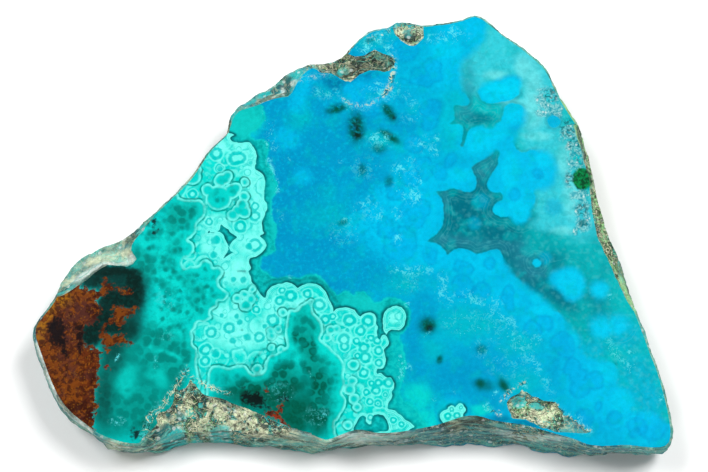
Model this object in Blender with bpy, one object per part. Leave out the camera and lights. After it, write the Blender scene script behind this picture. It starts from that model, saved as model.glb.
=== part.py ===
"""Polished slab of chrysocolla with malachite: one piece of stone, flat on its sawn back.

Plan coordinates are millimetres, measured from the slab's left tip (x) and its near edge (y).
The finished object is in metres, with its origin under the middle of its bounding box.
"""

import math

import bmesh
import bpy
import numpy as np
from mathutils import Matrix, Vector, noise

MM = 0.001

THICKNESS = 11.0
RIM_SPACING = 1.15
BEVEL = 0.35
WALL_ROWS = 7
WAIST_SHARE = 0.55

LUMP_SIZE = 4.5
LUMP_HEIGHT = 0.55
LEDGE_HEIGHT = 0.45
LEDGE_THICKNESS = 2.2
LEDGE_LENGTH = 14.0
CRUMB_SIZE = 1.7
CRUMB_HEIGHT = 0.3
LEAST_DEPTH = 0.2

CUTTER_SPACING = 0.9
CUTTER_MARGIN = 1.5
CUTTER_RISE = 1.2

STONE_COLOUR = (0.0, 0.32, 0.62, 1.0)
STONE_ROUGHNESS = 0.15

# The rim, anticlockwise from the left tip: x, y, then how far the wall stands out at its waist and at its foot.
NEAR_RIM = [
    (0.5, 21.3, 0.4, -1.2),
    (0.9, 19.6, 0.5, -1.1),
    (2.0, 16.8, 0.6, -1.0),
    (2.9, 14.4, 0.6, -1.0),
    (4.0, 11.9, 0.5, -1.0),
    (5.2, 9.6, 0.4, -1.0),
    (6.6, 7.7, 0.3, -1.0),
    (8.4, 6.0, 0.3, -0.8),
    (10.4, 4.5, 0.2, -0.5),
    (12.3, 3.1, 0.3, -0.2),
    (14.2, 2.2, 0.3, 0.0),
    (16.3, 1.5, 0.2, -0.1),
    (18.3, 1.1, 0.1, -0.2),
    (20.5, 1.2, 0.1, 0.0),
    (23.0, 2.3, 0.4, 0.6),
    (26.0, 3.8, 0.8, 1.1),
    (29.0, 4.6, 0.9, 1.2),
    (33.0, 4.6, 0.9, 1.3),
    (37.0, 4.4, 0.9, 1.4),
    (40.5, 3.9, 0.9, 1.4),
    (44.0, 3.5, 0.8, 1.3),
    (47.5, 3.2, 0.7, 1.1),
    (50.5, 2.6, 0.5, 0.8),
    (53.0, 1.7, 0.1, 0.0),
    (55.5, 2.5, 0.3, 0.4),
    (57.8, 3.4, 0.6, 1.0),
    (59.5, 3.5, 0.6, 1.0),
    (61.5, 3.0, 0.2, 0.3),
    (65.0, 3.0, 0.1, 0.1),
    (69.0, 3.6, 0.4, 0.7),
    (72.5, 4.3, 0.8, 1.3),
    (75.0, 5.1, 1.2, 2.0),
    (77.5, 5.9, 1.6, 2.6),
    (80.0, 6.0, 1.7, 2.7),
    (82.3, 5.3, 1.4, 2.1),
    (85.0, 4.8, 1.0, 1.6),
    (87.5, 4.5, 0.8, 1.3),
    (91.0, 3.6, 0.8, 1.2),
    (94.0, 2.7, 0.7, 1.1),
    (96.8, 1.9, 0.5, 0.9),
    (99.0, 1.0, 0.0, 0.1),
    (102.0, 0.6, -0.2, -0.8),
    (106.0, 0.8, -0.2, -1.2),
    (110.0, 0.4, -0.3, -1.6),
    (112.8, 0.5, -0.2, -1.6),
]
RIGHT_RIM = [
    (114.1, 1.7, 0.2, -1.1),
    (114.4, 4.0, 0.4, -0.6),
    (114.0, 7.5, 0.4, -0.2),
    (113.3, 11.0, 0.4, 0.0),
    (112.4, 14.5, 0.4, 0.0),
    (111.2, 18.0, 0.5, 0.2),
    (110.1, 21.5, 0.5, 0.3),
    (108.9, 25.0, 0.4, 0.3),
    (108.2, 27.5, 0.3, 0.0),
    (107.3, 30.5, 0.4, -0.2),
    (106.6, 33.5, 0.3, -0.3),
    (105.7, 36.5, 0.4, -0.2),
    (104.6, 38.8, 0.3, -0.2),
    (103.8, 41.5, 0.3, -0.1),
    (102.9, 45.0, 0.4, 0.1),
    (102.1, 48.5, 0.4, 0.1),
    (101.6, 52.0, 0.4, 0.2),
    (100.8, 56.0, 0.4, 0.2),
    (99.6, 60.0, 0.5, 0.2),
    (98.2, 62.6, 0.5, 0.3),
    (96.7, 65.2, 0.5, 0.3),
    (95.6, 67.4, 0.5, 0.3),
    (94.4, 70.4, 0.5, 0.2),
    (93.2, 72.3, 0.4, 0.2),
    (91.3, 74.1, 0.4, 0.2),
    (89.1, 76.1, 0.4, 0.1),
    (86.5, 78.0, 0.4, 0.1),
    (84.1, 80.1, 0.4, 0.1),
    (82.2, 81.7, 0.4, 0.0),
]
FAR_RIM = [
    (80.5, 82.3, 0.3, 0.0),
    (78.4, 81.5, 0.3, 0.0),
    (75.6, 80.8, 0.4, 0.1),
    (72.3, 80.4, 0.4, 0.2),
    (70.8, 80.2, 0.3, 0.2),
    (68.8, 80.8, 0.4, 0.3),
    (66.2, 80.9, 0.4, 0.3),
    (64.0, 79.8, 0.4, 0.3),
    (61.2, 79.2, 0.4, 0.2),
    (59.2, 77.8, 0.3, 0.1),
    (57.6, 76.1, 0.3, 0.0),
    (56.3, 74.4, 0.2, -0.2),
    (54.9, 73.7, 0.3, -0.2),
    (52.9, 73.1, 0.4, 0.0),
    (50.0, 72.8, 0.4, 0.1),
    (47.6, 72.0, 0.4, 0.1),
    (45.0, 70.6, 0.3, 0.0),
    (43.3, 68.9, 0.2, -0.1),
    (41.8, 67.9, 0.4, 0.1),
    (40.0, 67.0, 0.4, 0.2),
    (38.1, 65.5, 0.4, 0.1),
    (36.5, 64.2, 0.4, 0.0),
    (35.3, 62.6, 0.4, 0.1),
    (34.8, 60.5, 0.4, 0.2),
]
LEFT_RIM = [
    (34.4, 58.9, 0.4, 0.2),
    (32.9, 57.4, 0.5, 0.2),
    (31.2, 55.5, 0.5, 0.3),
    (29.8, 53.3, 0.6, 0.4),
    (28.1, 50.6, 0.6, 0.4),
    (26.0, 48.2, 0.5, 0.3),
    (24.0, 46.2, 0.5, 0.3),
    (21.9, 44.1, 0.4, 0.2),
    (20.0, 42.6, 0.3, 0.1),
    (18.3, 40.8, 0.3, 0.1),
    (16.2, 39.1, 0.4, 0.3),
    (13.8, 38.1, 0.5, 0.4),
    (11.1, 37.1, 0.6, 0.4),
    (8.7, 35.8, 0.6, 0.4),
    (6.8, 33.9, 0.6, 0.3),
    (5.5, 31.7, 0.5, 0.2),
    (4.6, 29.6, 0.4, 0.0),
    (3.9, 27.6, 0.3, -0.3),
    (2.8, 25.9, 0.3, -0.6),
    (1.6, 24.3, 0.3, -0.9),
    (0.7, 22.9, 0.3, -1.1),
]

# Places where the polished plane misses the stone, and its rough skin shows. Each has an inner edge, which runs
# across the face, points that close it outside the rim (none for a pit inside the face), a depth and the run
# over which it is reached.
POCKETS = {
    "near corner crust": dict(
        edge=[
            (19.6, 0.9), (20.8, 2.6), (22.4, 4.2), (23.2, 4.7), (22.9, 5.8), (23.2, 7.0), (24.5, 7.2),
            (25.6, 7.9), (25.9, 9.4), (26.2, 11.7), (27.2, 10.9), (28.2, 11.5), (28.8, 13.0), (29.7, 12.2),
            (30.4, 11.1), (31.4, 10.1), (33.2, 9.8), (35.0, 9.3), (36.6, 8.5), (38.4, 7.9), (40.0, 7.3),
            (41.8, 6.5), (43.2, 5.8), (45.0, 5.1), (46.8, 4.3), (48.6, 3.8), (50.4, 3.3), (51.6, 1.2),
        ],
        closing=[(50.0, -3.0), (21.0, -3.0)],
        depth=3.4,
        run=6.5,
    ),
    "left shoulder": dict(
        edge=[
            (3.2, 27.6), (5.5, 28.3), (7.0, 29.2), (8.3, 30.2), (9.5, 31.0), (10.6, 32.0), (12.0, 33.2),
            (13.5, 34.0), (15.4, 33.8), (17.0, 33.6), (18.3, 34.4), (18.7, 35.3), (17.6, 36.5), (17.7, 38.0),
            (18.6, 39.2), (19.7, 40.3), (20.2, 41.5), (21.2, 42.4), (22.4, 45.2),
        ],
        closing=[(12.0, 43.0), (0.0, 38.0), (0.0, 28.0)],
        depth=2.6,
        run=4.5,
    ),
    "far strip": dict(
        edge=[
            (33.4, 59.6), (35.0, 59.8), (35.5, 61.6), (36.4, 63.2), (38.0, 63.8), (40.0, 64.4), (41.6, 65.2),
            (43.6, 65.9), (46.2, 66.2), (46.7, 67.3), (47.4, 68.9), (48.8, 70.9), (50.2, 71.8), (51.2, 71.4),
            (52.0, 70.8), (53.7, 70.7), (55.0, 70.0), (56.0, 69.3), (57.3, 68.9), (58.3, 69.8), (59.4, 70.8),
            (60.8, 71.3), (62.5, 71.3), (64.0, 70.9), (65.3, 71.7), (65.7, 73.0), (65.0, 74.0), (63.2, 74.7),
            (61.6, 75.4), (60.2, 74.4), (58.6, 73.9), (57.2, 74.3), (55.6, 75.8),
        ],
        closing=[(50.0, 76.0), (38.0, 69.0), (32.0, 62.0)],
        depth=2.0,
        run=2.6,
    ),
    "far crumbs": dict(
        edge=[
            (64.6, 81.6), (65.2, 79.6), (65.9, 77.9), (67.2, 76.6), (68.9, 76.0), (70.4, 76.6), (71.1, 78.0),
            (71.0, 79.4), (71.0, 81.4),
        ],
        closing=[(68.0, 83.5)],
        depth=0.7,
        run=2.5,
    ),
    "right strip": dict(
        edge=[
            (110.3, 24.3), (108.3, 25.5), (107.1, 27.6), (106.2, 29.8), (105.2, 32.0), (104.2, 34.7),
            (103.1, 37.3), (102.2, 39.3), (102.0, 41.2), (101.5, 44.0), (101.2, 47.5), (101.2, 50.3),
            (100.4, 53.0), (99.8, 55.8), (98.9, 59.0), (98.4, 60.8), (100.6, 61.6),
        ],
        closing=[(105.0, 56.0), (108.0, 40.0)],
        depth=2.2,
        run=2.0,
    ),
    "near right pit": dict(
        edge=[
            (85.9, 5.9), (85.4, 7.2), (85.1, 9.1), (86.3, 10.0), (87.7, 10.5), (88.1, 11.6), (88.7, 10.6),
            (90.5, 9.7), (92.5, 9.0), (93.9, 8.8), (94.4, 7.8), (95.4, 6.5), (96.9, 5.7), (98.2, 4.8),
            (100.2, 3.3), (98.4, 3.2), (96.0, 3.4), (93.6, 3.4), (91.6, 4.0), (89.6, 5.1), (87.6, 5.7),
        ],
        closing=[],
        depth=0.9,
        run=2.2,
    ),
}


def smooth_loop(stations, spacing):
    """Evenly spaced rows along a closed Catmull-Rom curve through the stations."""
    rows = np.array(stations, float)
    before, after, beyond = (np.roll(rows, k, axis=0) for k in (1, -1, -2))
    share = np.linspace(0.0, 1.0, 12, endpoint=False)[None, :, None]
    a, b, c, d = (r[:, None, :] for r in (before, rows, after, beyond))
    curve = 0.5 * (
        2 * b
        + (c - a) * share
        + (2 * a - 5 * b + 4 * c - d) * share**2
        + (3 * b - a - 3 * c + d) * share**3
    )
    curve = curve.reshape(-1, rows.shape[1])
    closed = np.vstack([curve, curve[:1]])
    along = np.concatenate([[0.0], np.cumsum(np.linalg.norm(np.diff(closed[:, :2], axis=0), axis=1))])
    count = round(along[-1] / spacing)
    at = np.linspace(0.0, along[-1], count, endpoint=False)
    return np.stack([np.interp(at, along, closed[:, k]) for k in range(closed.shape[1])], axis=1)


def outward_normals(loop):
    """Unit vectors that point out of an anticlockwise loop, softened over a few points."""
    tangent = sum(np.roll(loop, -k, axis=0) - np.roll(loop, k, axis=0) for k in (1, 2, 3))
    normal = np.stack([tangent[:, 1], -tangent[:, 0]], axis=1)
    return normal / np.linalg.norm(normal, axis=1)[:, None]


def distance_to_line(points, line):
    """How far each point lies from a polyline."""
    start, run = line[:-1], np.diff(line, axis=0)
    offset = points[:, None, :] - start[None]
    share = np.clip((offset * run).sum(2) / (run**2).sum(1), 0.0, 1.0)
    return np.linalg.norm(offset - share[..., None] * run, axis=2).min(axis=1)


def inside(points, outline):
    """True for each point inside a closed outline."""
    x, y = points[:, :1], points[:, 1:]
    x0, y0 = outline[:, 0], outline[:, 1]
    x1, y1 = np.roll(x0, -1), np.roll(y0, -1)
    spans = (y0 > y) != (y1 > y)
    rise = np.where(y1 == y0, 1.0, y1 - y0)
    return (spans & (x < (x1 - x0) * (y - y0) / rise + x0)).sum(axis=1) % 2 == 1


def lumps(places, size):
    """Smooth noise from about -1 to 1, with features about size mm across."""
    return np.array([noise.fractal(Vector(place / size), 0.6, 2.1, 3) for place in places])


def wall_row(rim, swell, share):
    """One ring of the rough wall, from 0 at the rim to 1 at the foot: places in millimetres."""
    waist, foot = swell[:, 0], swell[:, 1]
    # A parabola through 0 at the rim, then the waist's swell, then the foot's.
    bend = (waist - foot * WAIST_SHARE) / (WAIST_SHARE * (1.0 - WAIST_SHARE))
    stand = foot * share + bend * share * (1.0 - share)
    place = np.column_stack([rim, np.full(len(rim), THICKNESS * (1.0 - share))])
    ledge = place / np.array([LEDGE_LENGTH, LEDGE_LENGTH, LEDGE_THICKNESS])
    rough = LUMP_HEIGHT * lumps(place, LUMP_SIZE) + LEDGE_HEIGHT * lumps(ledge, 1.0)
    stand = stand + rough * min(1.0, 1.6 * share)
    place[:, :2] += outward_normals(rim) * stand[:, None]
    return place


def new_object(name, made, collection):
    """Links a bmesh in millimetres as an object in metres, in the slab's frame, and frees the bmesh."""
    bmesh.ops.recalc_face_normals(made, faces=made.faces)
    bmesh.ops.scale(made, verts=made.verts, vec=(MM, MM, MM))
    mesh = bpy.data.meshes.new(name)
    made.to_mesh(mesh)
    made.free()
    item = bpy.data.objects.new(name, mesh)
    collection.objects.link(item)
    return item


def make_blank(collection):
    """The slab before its skin shows: a face drawn out into rings down to the foot, with a bevelled rim."""
    stations = smooth_loop(NEAR_RIM + RIGHT_RIM + FAR_RIM + LEFT_RIM, RIM_SPACING)
    rim, swell = stations[:, :2], stations[:, 2:]
    made = bmesh.new()
    station = made.verts.layers.int.new("station")
    face = made.faces.new([made.verts.new((x, y, THICKNESS)) for x, y in rim])
    for number, vert in enumerate(face.verts):
        vert[station] = number
    polished_rim = list(face.edges)
    for row in range(1, WALL_ROWS + 1):
        ring = wall_row(rim, swell, row / WALL_ROWS)
        drawn = bmesh.ops.extrude_face_region(made, geom=[face, *face.edges])["geom"]
        face = next(item for item in drawn if isinstance(item, bmesh.types.BMFace))
        for vert in face.verts:
            vert.co = ring[vert[station]]
    bmesh.ops.bevel(made, geom=polished_rim, offset=BEVEL, segments=1, affect="EDGES")
    return new_object("slab", made, collection)


def make_cutter(name, pocket, collection):
    """The air over one pocket: a grid shaped like the stone's rough skin, drawn up past the polished face."""
    edge = np.array(pocket["edge"], float)
    closing = np.array(pocket["closing"], float).reshape(-1, 2)
    outline = np.vstack([edge, closing])
    if len(closing) == 0:
        edge = np.vstack([edge, edge[:1]])
    low, high = outline.min(axis=0) - CUTTER_MARGIN, outline.max(axis=0) + CUTTER_MARGIN
    size = high - low
    columns, rows = np.ceil(size / CUTTER_SPACING).astype(int)

    made = bmesh.new()
    place = Matrix.Translation((*(low + high) / 2, 0.0)) @ Matrix.Diagonal((size[0] / 2, size[1] / 2, 1.0, 1.0))
    bmesh.ops.create_grid(made, x_segments=columns, y_segments=rows, size=1.0, matrix=place)
    plan = np.array([vert.co for vert in made.verts])
    crumbs = lumps(plan, CRUMB_SIZE)
    share = np.clip(distance_to_line(plan[:, :2], edge) / pocket["run"], 0.0, 1.0)
    drop = pocket["depth"] * share * (1.5 - 0.5 * share) + CRUMB_HEIGHT * crumbs * np.clip(share * 6.0, 0.0, 1.0)
    drop = np.maximum(drop, LEAST_DEPTH * np.clip(share * 10.0, 0.0, 1.0))
    rise = np.minimum(distance_to_line(plan[:, :2], np.vstack([outline, outline[:1]])), CUTTER_RISE)
    heights = THICKNESS + np.where(inside(plan[:, :2], outline), -drop, rise)
    for vert, height in zip(made.verts, heights):
        vert.co.z = height
    drawn = bmesh.ops.extrude_face_region(made, geom=made.faces[:])["geom"]
    for vert in (item for item in drawn if isinstance(item, bmesh.types.BMVert)):
        vert.co.z = THICKNESS + 2 * CUTTER_RISE

    cutter = new_object(name, made, collection)
    cutter.hide_render = True
    cutter.display_type = "WIRE"
    return cutter


def stone_material():
    """Plain blue stone, polished."""
    material = bpy.data.materials.new("chrysocolla")
    material.use_nodes = True
    shader = material.node_tree.nodes["Principled BSDF"]
    shader.inputs["Base Color"].default_value = STONE_COLOUR
    shader.inputs["Roughness"].default_value = STONE_ROUGHNESS
    return material


def make_slab(collection, cutters):
    """The slab, resting on z = 0 with its bounding box centred on the origin in plan."""
    slab = make_blank(collection)
    slab.data.materials.append(stone_material())
    slab.data.shade_smooth()
    slab.data.set_sharp_from_angle(angle=math.radians(30.0))
    corners = np.array([vert.co for vert in slab.data.vertices])
    middle = (corners.min(axis=0) + corners.max(axis=0)) / 2
    shift = Vector((-middle[0], -middle[1], 0.0))
    slab.location = shift
    for name, pocket in POCKETS.items():
        cutter = make_cutter(name, pocket, cutters)
        cutter.location = shift
        cut = slab.modifiers.new(name, "BOOLEAN")
        cut.object = cutter


def new_collection(name):
    """A collection in the scene."""
    collection = bpy.data.collections.new(name)
    bpy.context.scene.collection.children.link(collection)
    return collection


def main():
    """Clears the scene and builds the slab in its own collection."""
    for old in list(bpy.data.objects):
        bpy.data.objects.remove(old)
    make_slab(new_collection("chrysocolla slab"), new_collection("cutters"))


main()
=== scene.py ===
"""A slab of chrysocolla with malachite, sawn, polished on one face and left rough round its side.

The stone's own plan is in millimetres: x runs from its left tip and y from its near edge, as one looks
down on the polished face. Its pattern is laid out in that plan as rings, lobes, seams and soft patches.
"""

import logging
import math
from dataclasses import dataclass
from enum import Enum

import bmesh
import bpy
import numpy as np
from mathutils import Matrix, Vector, geometry, kdtree, noise


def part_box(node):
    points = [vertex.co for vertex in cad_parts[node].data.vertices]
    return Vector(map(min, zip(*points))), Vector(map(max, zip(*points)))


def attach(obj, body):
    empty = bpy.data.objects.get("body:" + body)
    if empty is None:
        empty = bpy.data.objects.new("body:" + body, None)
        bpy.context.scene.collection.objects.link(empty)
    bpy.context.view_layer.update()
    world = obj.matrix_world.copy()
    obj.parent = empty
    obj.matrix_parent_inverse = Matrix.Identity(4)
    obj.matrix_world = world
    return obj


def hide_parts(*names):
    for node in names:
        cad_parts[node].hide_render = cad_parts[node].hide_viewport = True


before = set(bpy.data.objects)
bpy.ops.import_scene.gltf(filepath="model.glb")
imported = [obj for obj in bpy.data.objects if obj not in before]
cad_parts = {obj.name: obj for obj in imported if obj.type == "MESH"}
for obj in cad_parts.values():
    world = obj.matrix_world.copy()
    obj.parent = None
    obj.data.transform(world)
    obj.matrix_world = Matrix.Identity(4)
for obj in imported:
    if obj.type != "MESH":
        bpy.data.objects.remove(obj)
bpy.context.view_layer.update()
MM = 0.001
LOG = logging.getLogger("slab")
Socket = bpy.types.NodeSocket
EVEN = (1.0, 1.0, 1.0)
STUDIO_SHARE = 0.78


class Tint(Enum):
    """The stone's colours, as red, green and blue from 0 to 255."""

    AZURE = (0, 174, 212)
    BRIGHT_AZURE = (0, 194, 236)
    DEEP_AZURE = (0, 144, 192)
    LOBE_BLUE = (0, 170, 226)
    INK_BLUE = (0, 108, 150)
    CYAN = (0, 214, 242)
    SEA_GREEN = (0, 182, 186)
    SEA = (0, 128, 142)
    DARK_SEA = (0, 104, 124)
    GREY_SEA = (34, 126, 148)
    MILK = (52, 202, 216)
    PALE_MILK = (104, 222, 226)
    TEAL = (0, 200, 194)
    BRIGHT_TEAL = (6, 216, 204)
    DARK_TEAL = (0, 130, 120)
    BOTTLE = (0, 82, 62)
    NIGHT = (6, 36, 32)
    BLACK = (14, 14, 18)
    MINT = (8, 220, 208)
    PALE_MINT = (118, 250, 238)
    DEEP_MINT = (0, 214, 200)
    SEAM = (4, 88, 92)
    BAND = (0, 160, 154)
    PALE_BAND = (14, 200, 192)
    GOLD = (176, 116, 20)
    ORANGE = (124, 64, 18)
    BRICK = (98, 44, 16)
    MAROON = (50, 20, 14)
    PLUM = (78, 42, 36)
    RED_RUST = (146, 48, 26)
    CREAM = (236, 240, 200)
    UMBER = (8, 60, 62)
    BARK = (28, 36, 26)
    LICHEN = (56, 160, 142)
    GREY = (128, 168, 154)
    MAUVE = (84, 126, 134)
    TURQUOISE = (0, 186, 184)
    LIME = (160, 216, 140)
    PALE_ROCK = (104, 198, 184)
    ICE = (156, 210, 206)
    MALACHITE = (0, 134, 70)
    DARK_MALACHITE = (4, 70, 40)
    FROST = (96, 232, 240)
    WHITE = (230, 242, 236)

    @property
    def linear(self) -> np.ndarray:
        """The colour as linear red, green and blue, a share of its value because the studio is bright."""
        share = np.array(self.value) / 255.0
        return STUDIO_SHARE * np.where(share <= 0.04045, share / 12.92, ((share + 0.055) / 1.055) ** 2.4)

    @property
    def rgba(self) -> tuple:
        """The linear colour with an alpha of 1, for a socket."""
        return (*self.linear, 1.0)


@dataclass
class StonePlan:
    """Ties the stone's own plan to the row's frame, by the low corner of the CAD slab's box."""

    node: str = "slab"
    low_x: float = -0.005
    low_y: float = 0.214

    def __post_init__(self) -> None:
        """Reads the slab's box from the frame."""
        low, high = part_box(self.node)
        self.shift = np.array([self.low_x, self.low_y]) - np.array(low[:2]) / MM
        self.thickness = (high[2] - low[2]) / MM

    def plan_of(self, places: np.ndarray) -> np.ndarray:
        """The plan point under each place.

        Args:
            places: millimetres in the row's frame, one place a row.

        Returns:
            x and y in the plan, one point a row.
        """
        return places[:, :2] + self.shift

    def row_of(self, x: float, y: float, z: float) -> Vector:
        """A plan point at height z, all in millimetres, as a place in metres in the row's frame."""
        return Vector(((x - self.shift[0]) * MM, (y - self.shift[1]) * MM, z * MM))


class StoneSurface(Enum):
    """The stone's three finishes, in the order of its material slots."""

    POLISHED = 0
    SKIN = 1
    SAWN = 2


def lattice(low: np.ndarray, high: np.ndarray, spacing: float) -> np.ndarray:
    """Points in staggered rows over a rectangle.

    Args:
        low: the rectangle's low corner.
        high: its high corner.
        spacing: the distance between neighbours.

    Returns:
        x and y, one point a row.
    """
    rows = np.arange(low[1], high[1], spacing * math.sqrt(0.75))
    columns = np.arange(low[0], high[0], spacing)
    x, y = np.meshgrid(columns, rows)
    x = x + (np.arange(len(rows)) % 2)[:, None] * spacing / 2
    return np.stack([x.ravel(), y.ravel()], axis=1)


def rough(places: np.ndarray, size: float, octaves: int = 3) -> np.ndarray:
    """Smooth noise.

    Args:
        places: points in the plan or in space, in millimetres, one a row.
        size: how wide its features are.
        octaves: how many finer layers it adds.

    Returns:
        One value a point, from about -1 to 1.
    """
    padded = np.zeros((len(places), 3))
    padded[:, : places.shape[1]] = places
    return np.array([noise.fractal(Vector(place / size), 0.7, 2.1, octaves) for place in padded])


def fade(values: np.ndarray, start: float, end: float) -> np.ndarray:
    """A smooth step from 0 where values reach start to 1 where they reach end."""
    share = np.clip((values - start) / (end - start), 0.0, 1.0)
    return share * share * (3.0 - 2.0 * share)


def tree_of(points: np.ndarray) -> kdtree.KDTree:
    """A tree in which the nearest of some points of the plan is found fast."""
    tree = kdtree.KDTree(len(points))
    for index, point in enumerate(points):
        tree.insert((*point, 0.0), index)
    tree.balance()
    return tree


def curve_through(points: tuple, steps: int = 6) -> np.ndarray:
    """A smooth closed curve.

    Args:
        points: x and y of the places that it passes through, in order.
        steps: how many short straight pieces stand for each stretch.

    Returns:
        x and y, one corner a row.
    """
    rows = np.array(points, float)
    before, after, beyond = (np.roll(rows, k, axis=0)[:, None, :] for k in (1, -1, -2))
    here = rows[:, None, :]
    share = np.linspace(0.0, 1.0, steps, endpoint=False)[None, :, None]
    curve = 2 * here + (after - before) * share
    curve = curve + (2 * before - 5 * here + 4 * after - beyond) * share**2
    curve = curve + (3 * here - before - 3 * after + beyond) * share**3
    return (curve / 2).reshape(-1, 2)


@dataclass
class PlanPoints:
    """The mesh's points seen in the plan, and the ways to lay a shape on them. Lengths are in millimetres."""

    places: np.ndarray

    def wavered(self, size: float, reach: float) -> "PlanPoints":
        """The same points moved a little, so that a shape laid on them has an uneven edge.

        Args:
            size: how long the edge's waves are.
            reach: how far a point moves at most.

        Returns:
            The moved points.
        """
        moves = [rough(self.places + shift, size, 2) for shift in (11.0, 53.0)]
        return PlanPoints(self.places + reach * np.stack(moves, axis=1))

    def inside(self, starts: np.ndarray, ends: np.ndarray) -> np.ndarray:
        """True for each point that closed runs of straight edges go round an odd number of times.

        Args:
            starts: each edge's first end.
            ends: its other end.

        Returns:
            One answer a point.
        """
        order = np.argsort(self.places[:, 1])
        across, up = self.places[order].T
        found = np.zeros(len(order), bool)
        for (ax, ay), (bx, by) in zip(starts, ends):
            if ay == by:
                continue
            first, last = np.searchsorted(up, sorted((ay, by)))
            crossing = ax + (up[first:last] - ay) * (bx - ax) / (by - ay)
            found[first:last] ^= across[first:last] < crossing
        result = np.zeros(len(order), bool)
        result[order] = found
        return result

    def depth_in(self, points: tuple) -> np.ndarray:
        """How deep each point lies inside a smooth closed outline, negative outside it.

        Args:
            points: the places that the outline passes through.

        Returns:
            One depth a point.
        """
        outline = curve_through(points)
        tree = tree_of(outline)
        nearest = np.array([tree.find((*place, 0.0))[1] for place in self.places])
        depth = np.full(len(self.places), np.inf)
        for step in (-1, 1):
            start = outline[nearest]
            piece = np.roll(outline, -step, axis=0)[nearest] - start
            away = self.places - start
            share = np.clip((away * piece).sum(axis=1) / np.maximum((piece**2).sum(axis=1), 1e-9), 0.0, 1.0)
            depth = np.minimum(depth, np.linalg.norm(away - piece * share[:, None], axis=1))
        return np.where(self.inside(outline, np.roll(outline, -1, axis=0)), depth, -depth)

    def depth_in_any(self, outlines: tuple) -> np.ndarray:
        """How deep each point lies inside the union of some smooth closed outlines, negative outside it."""
        return np.max([self.depth_in(outline) for outline in outlines], axis=0)

    def depth_in_discs(self, discs: tuple) -> np.ndarray:
        """How deep each point lies inside the union of some discs, each given as x, y and radius."""
        right, up = self.places.T
        return np.max([radius - np.hypot(right - x, up - y) for x, y, radius in discs], axis=0)

    def share_of(self, x: float, y: float, wide: float, tall: float = 0.0, turn: float = 0.0) -> np.ndarray:
        """Each point's distance from the middle of a disc or an oval, as a share of its own reach.

        Args:
            x, y: the middle.
            wide, tall: half the width and half the height. A disc has no height of its own.
            turn: how far it is turned anticlockwise, in degrees.

        Returns:
            0 at its middle and 1 on its edge.
        """
        tall = tall or wide
        right, up = (self.places - (x, y)).T
        cosine, sine = math.cos(math.radians(turn)), math.sin(math.radians(turn))
        return np.hypot((right * cosine + up * sine) / wide, (up * cosine - right * sine) / tall)

    def nearest_disc(self, discs: tuple) -> np.ndarray:
        """Each point's distance from the middle of a disc as a share of its radius, least over all discs."""
        return np.min([self.share_of(*disc) for disc in discs], axis=0)

    def covered(self, ovals: tuple, outer: float, inner: float) -> np.ndarray:
        """1 inside any of some soft discs or ovals, falling to 0 outside them all.

        Args:
            ovals: each as x, y and radius, or as x, y, half width, half height and turn.
            outer: the share of an oval's reach at which it ends.
            inner: the share at which it is full.

        Returns:
            One share a point.
        """
        return np.max([fade(self.share_of(*oval), outer, inner) for oval in ovals], axis=0)

    def spared(self, ovals: tuple, strength: float, outer: float, inner: float) -> np.ndarray:
        """1 outside some soft discs or ovals, and less by a share of that strength inside each."""
        return np.prod([1.0 - strength * fade(self.share_of(*oval), outer, inner) for oval in ovals], axis=0)

    def along(self, points: tuple, width: float) -> np.ndarray:
        """1 on a line through some points, falling to 0 at that distance from it.

        Args:
            points: the line's corners.
            width: how far the line reaches to each side.

        Returns:
            One share a point.
        """
        least = np.full(len(self.places), np.inf)
        for start, end in zip(np.array(points[:-1], float), np.array(points[1:], float)):
            piece, away = end - start, self.places - start
            share = np.clip(away @ piece / (piece @ piece), 0.0, 1.0)
            least = np.minimum(least, np.linalg.norm(away - share[:, None] * piece, axis=1))
        return fade(least, width, 0.0)


@dataclass
class Wash:
    """A colour for each point, painted in soft patches one over another."""

    points: PlanPoints
    colours: np.ndarray

    @classmethod
    def of(cls, points: PlanPoints, tint: Tint) -> "Wash":
        """A wash that starts in one colour all over."""
        return cls(points, np.tile(tint.linear, (len(points.places), 1)))

    def lay(self, tint: Tint, share: np.ndarray) -> None:
        """Mixes a colour in, by each point's share of it."""
        self.colours += (tint.linear - self.colours) * share[:, None]

    def dab(self, tint: Tint, spots: tuple, strength: float = 1.0, blur: float = 0.45) -> None:
        """Lays one colour in soft round or oval patches.

        Args:
            tint: the colour.
            spots: each patch as x, y and radius, or as x, y, half width, half height and turn.
            strength: how much of the colour the middle of a patch takes.
            blur: the share of a patch's reach over which it fades, to each side of its edge.
        """
        for spot in spots:
            self.lay(tint, strength * fade(self.points.share_of(*spot), 1.0 + blur, 1.0 - blur))


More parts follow.
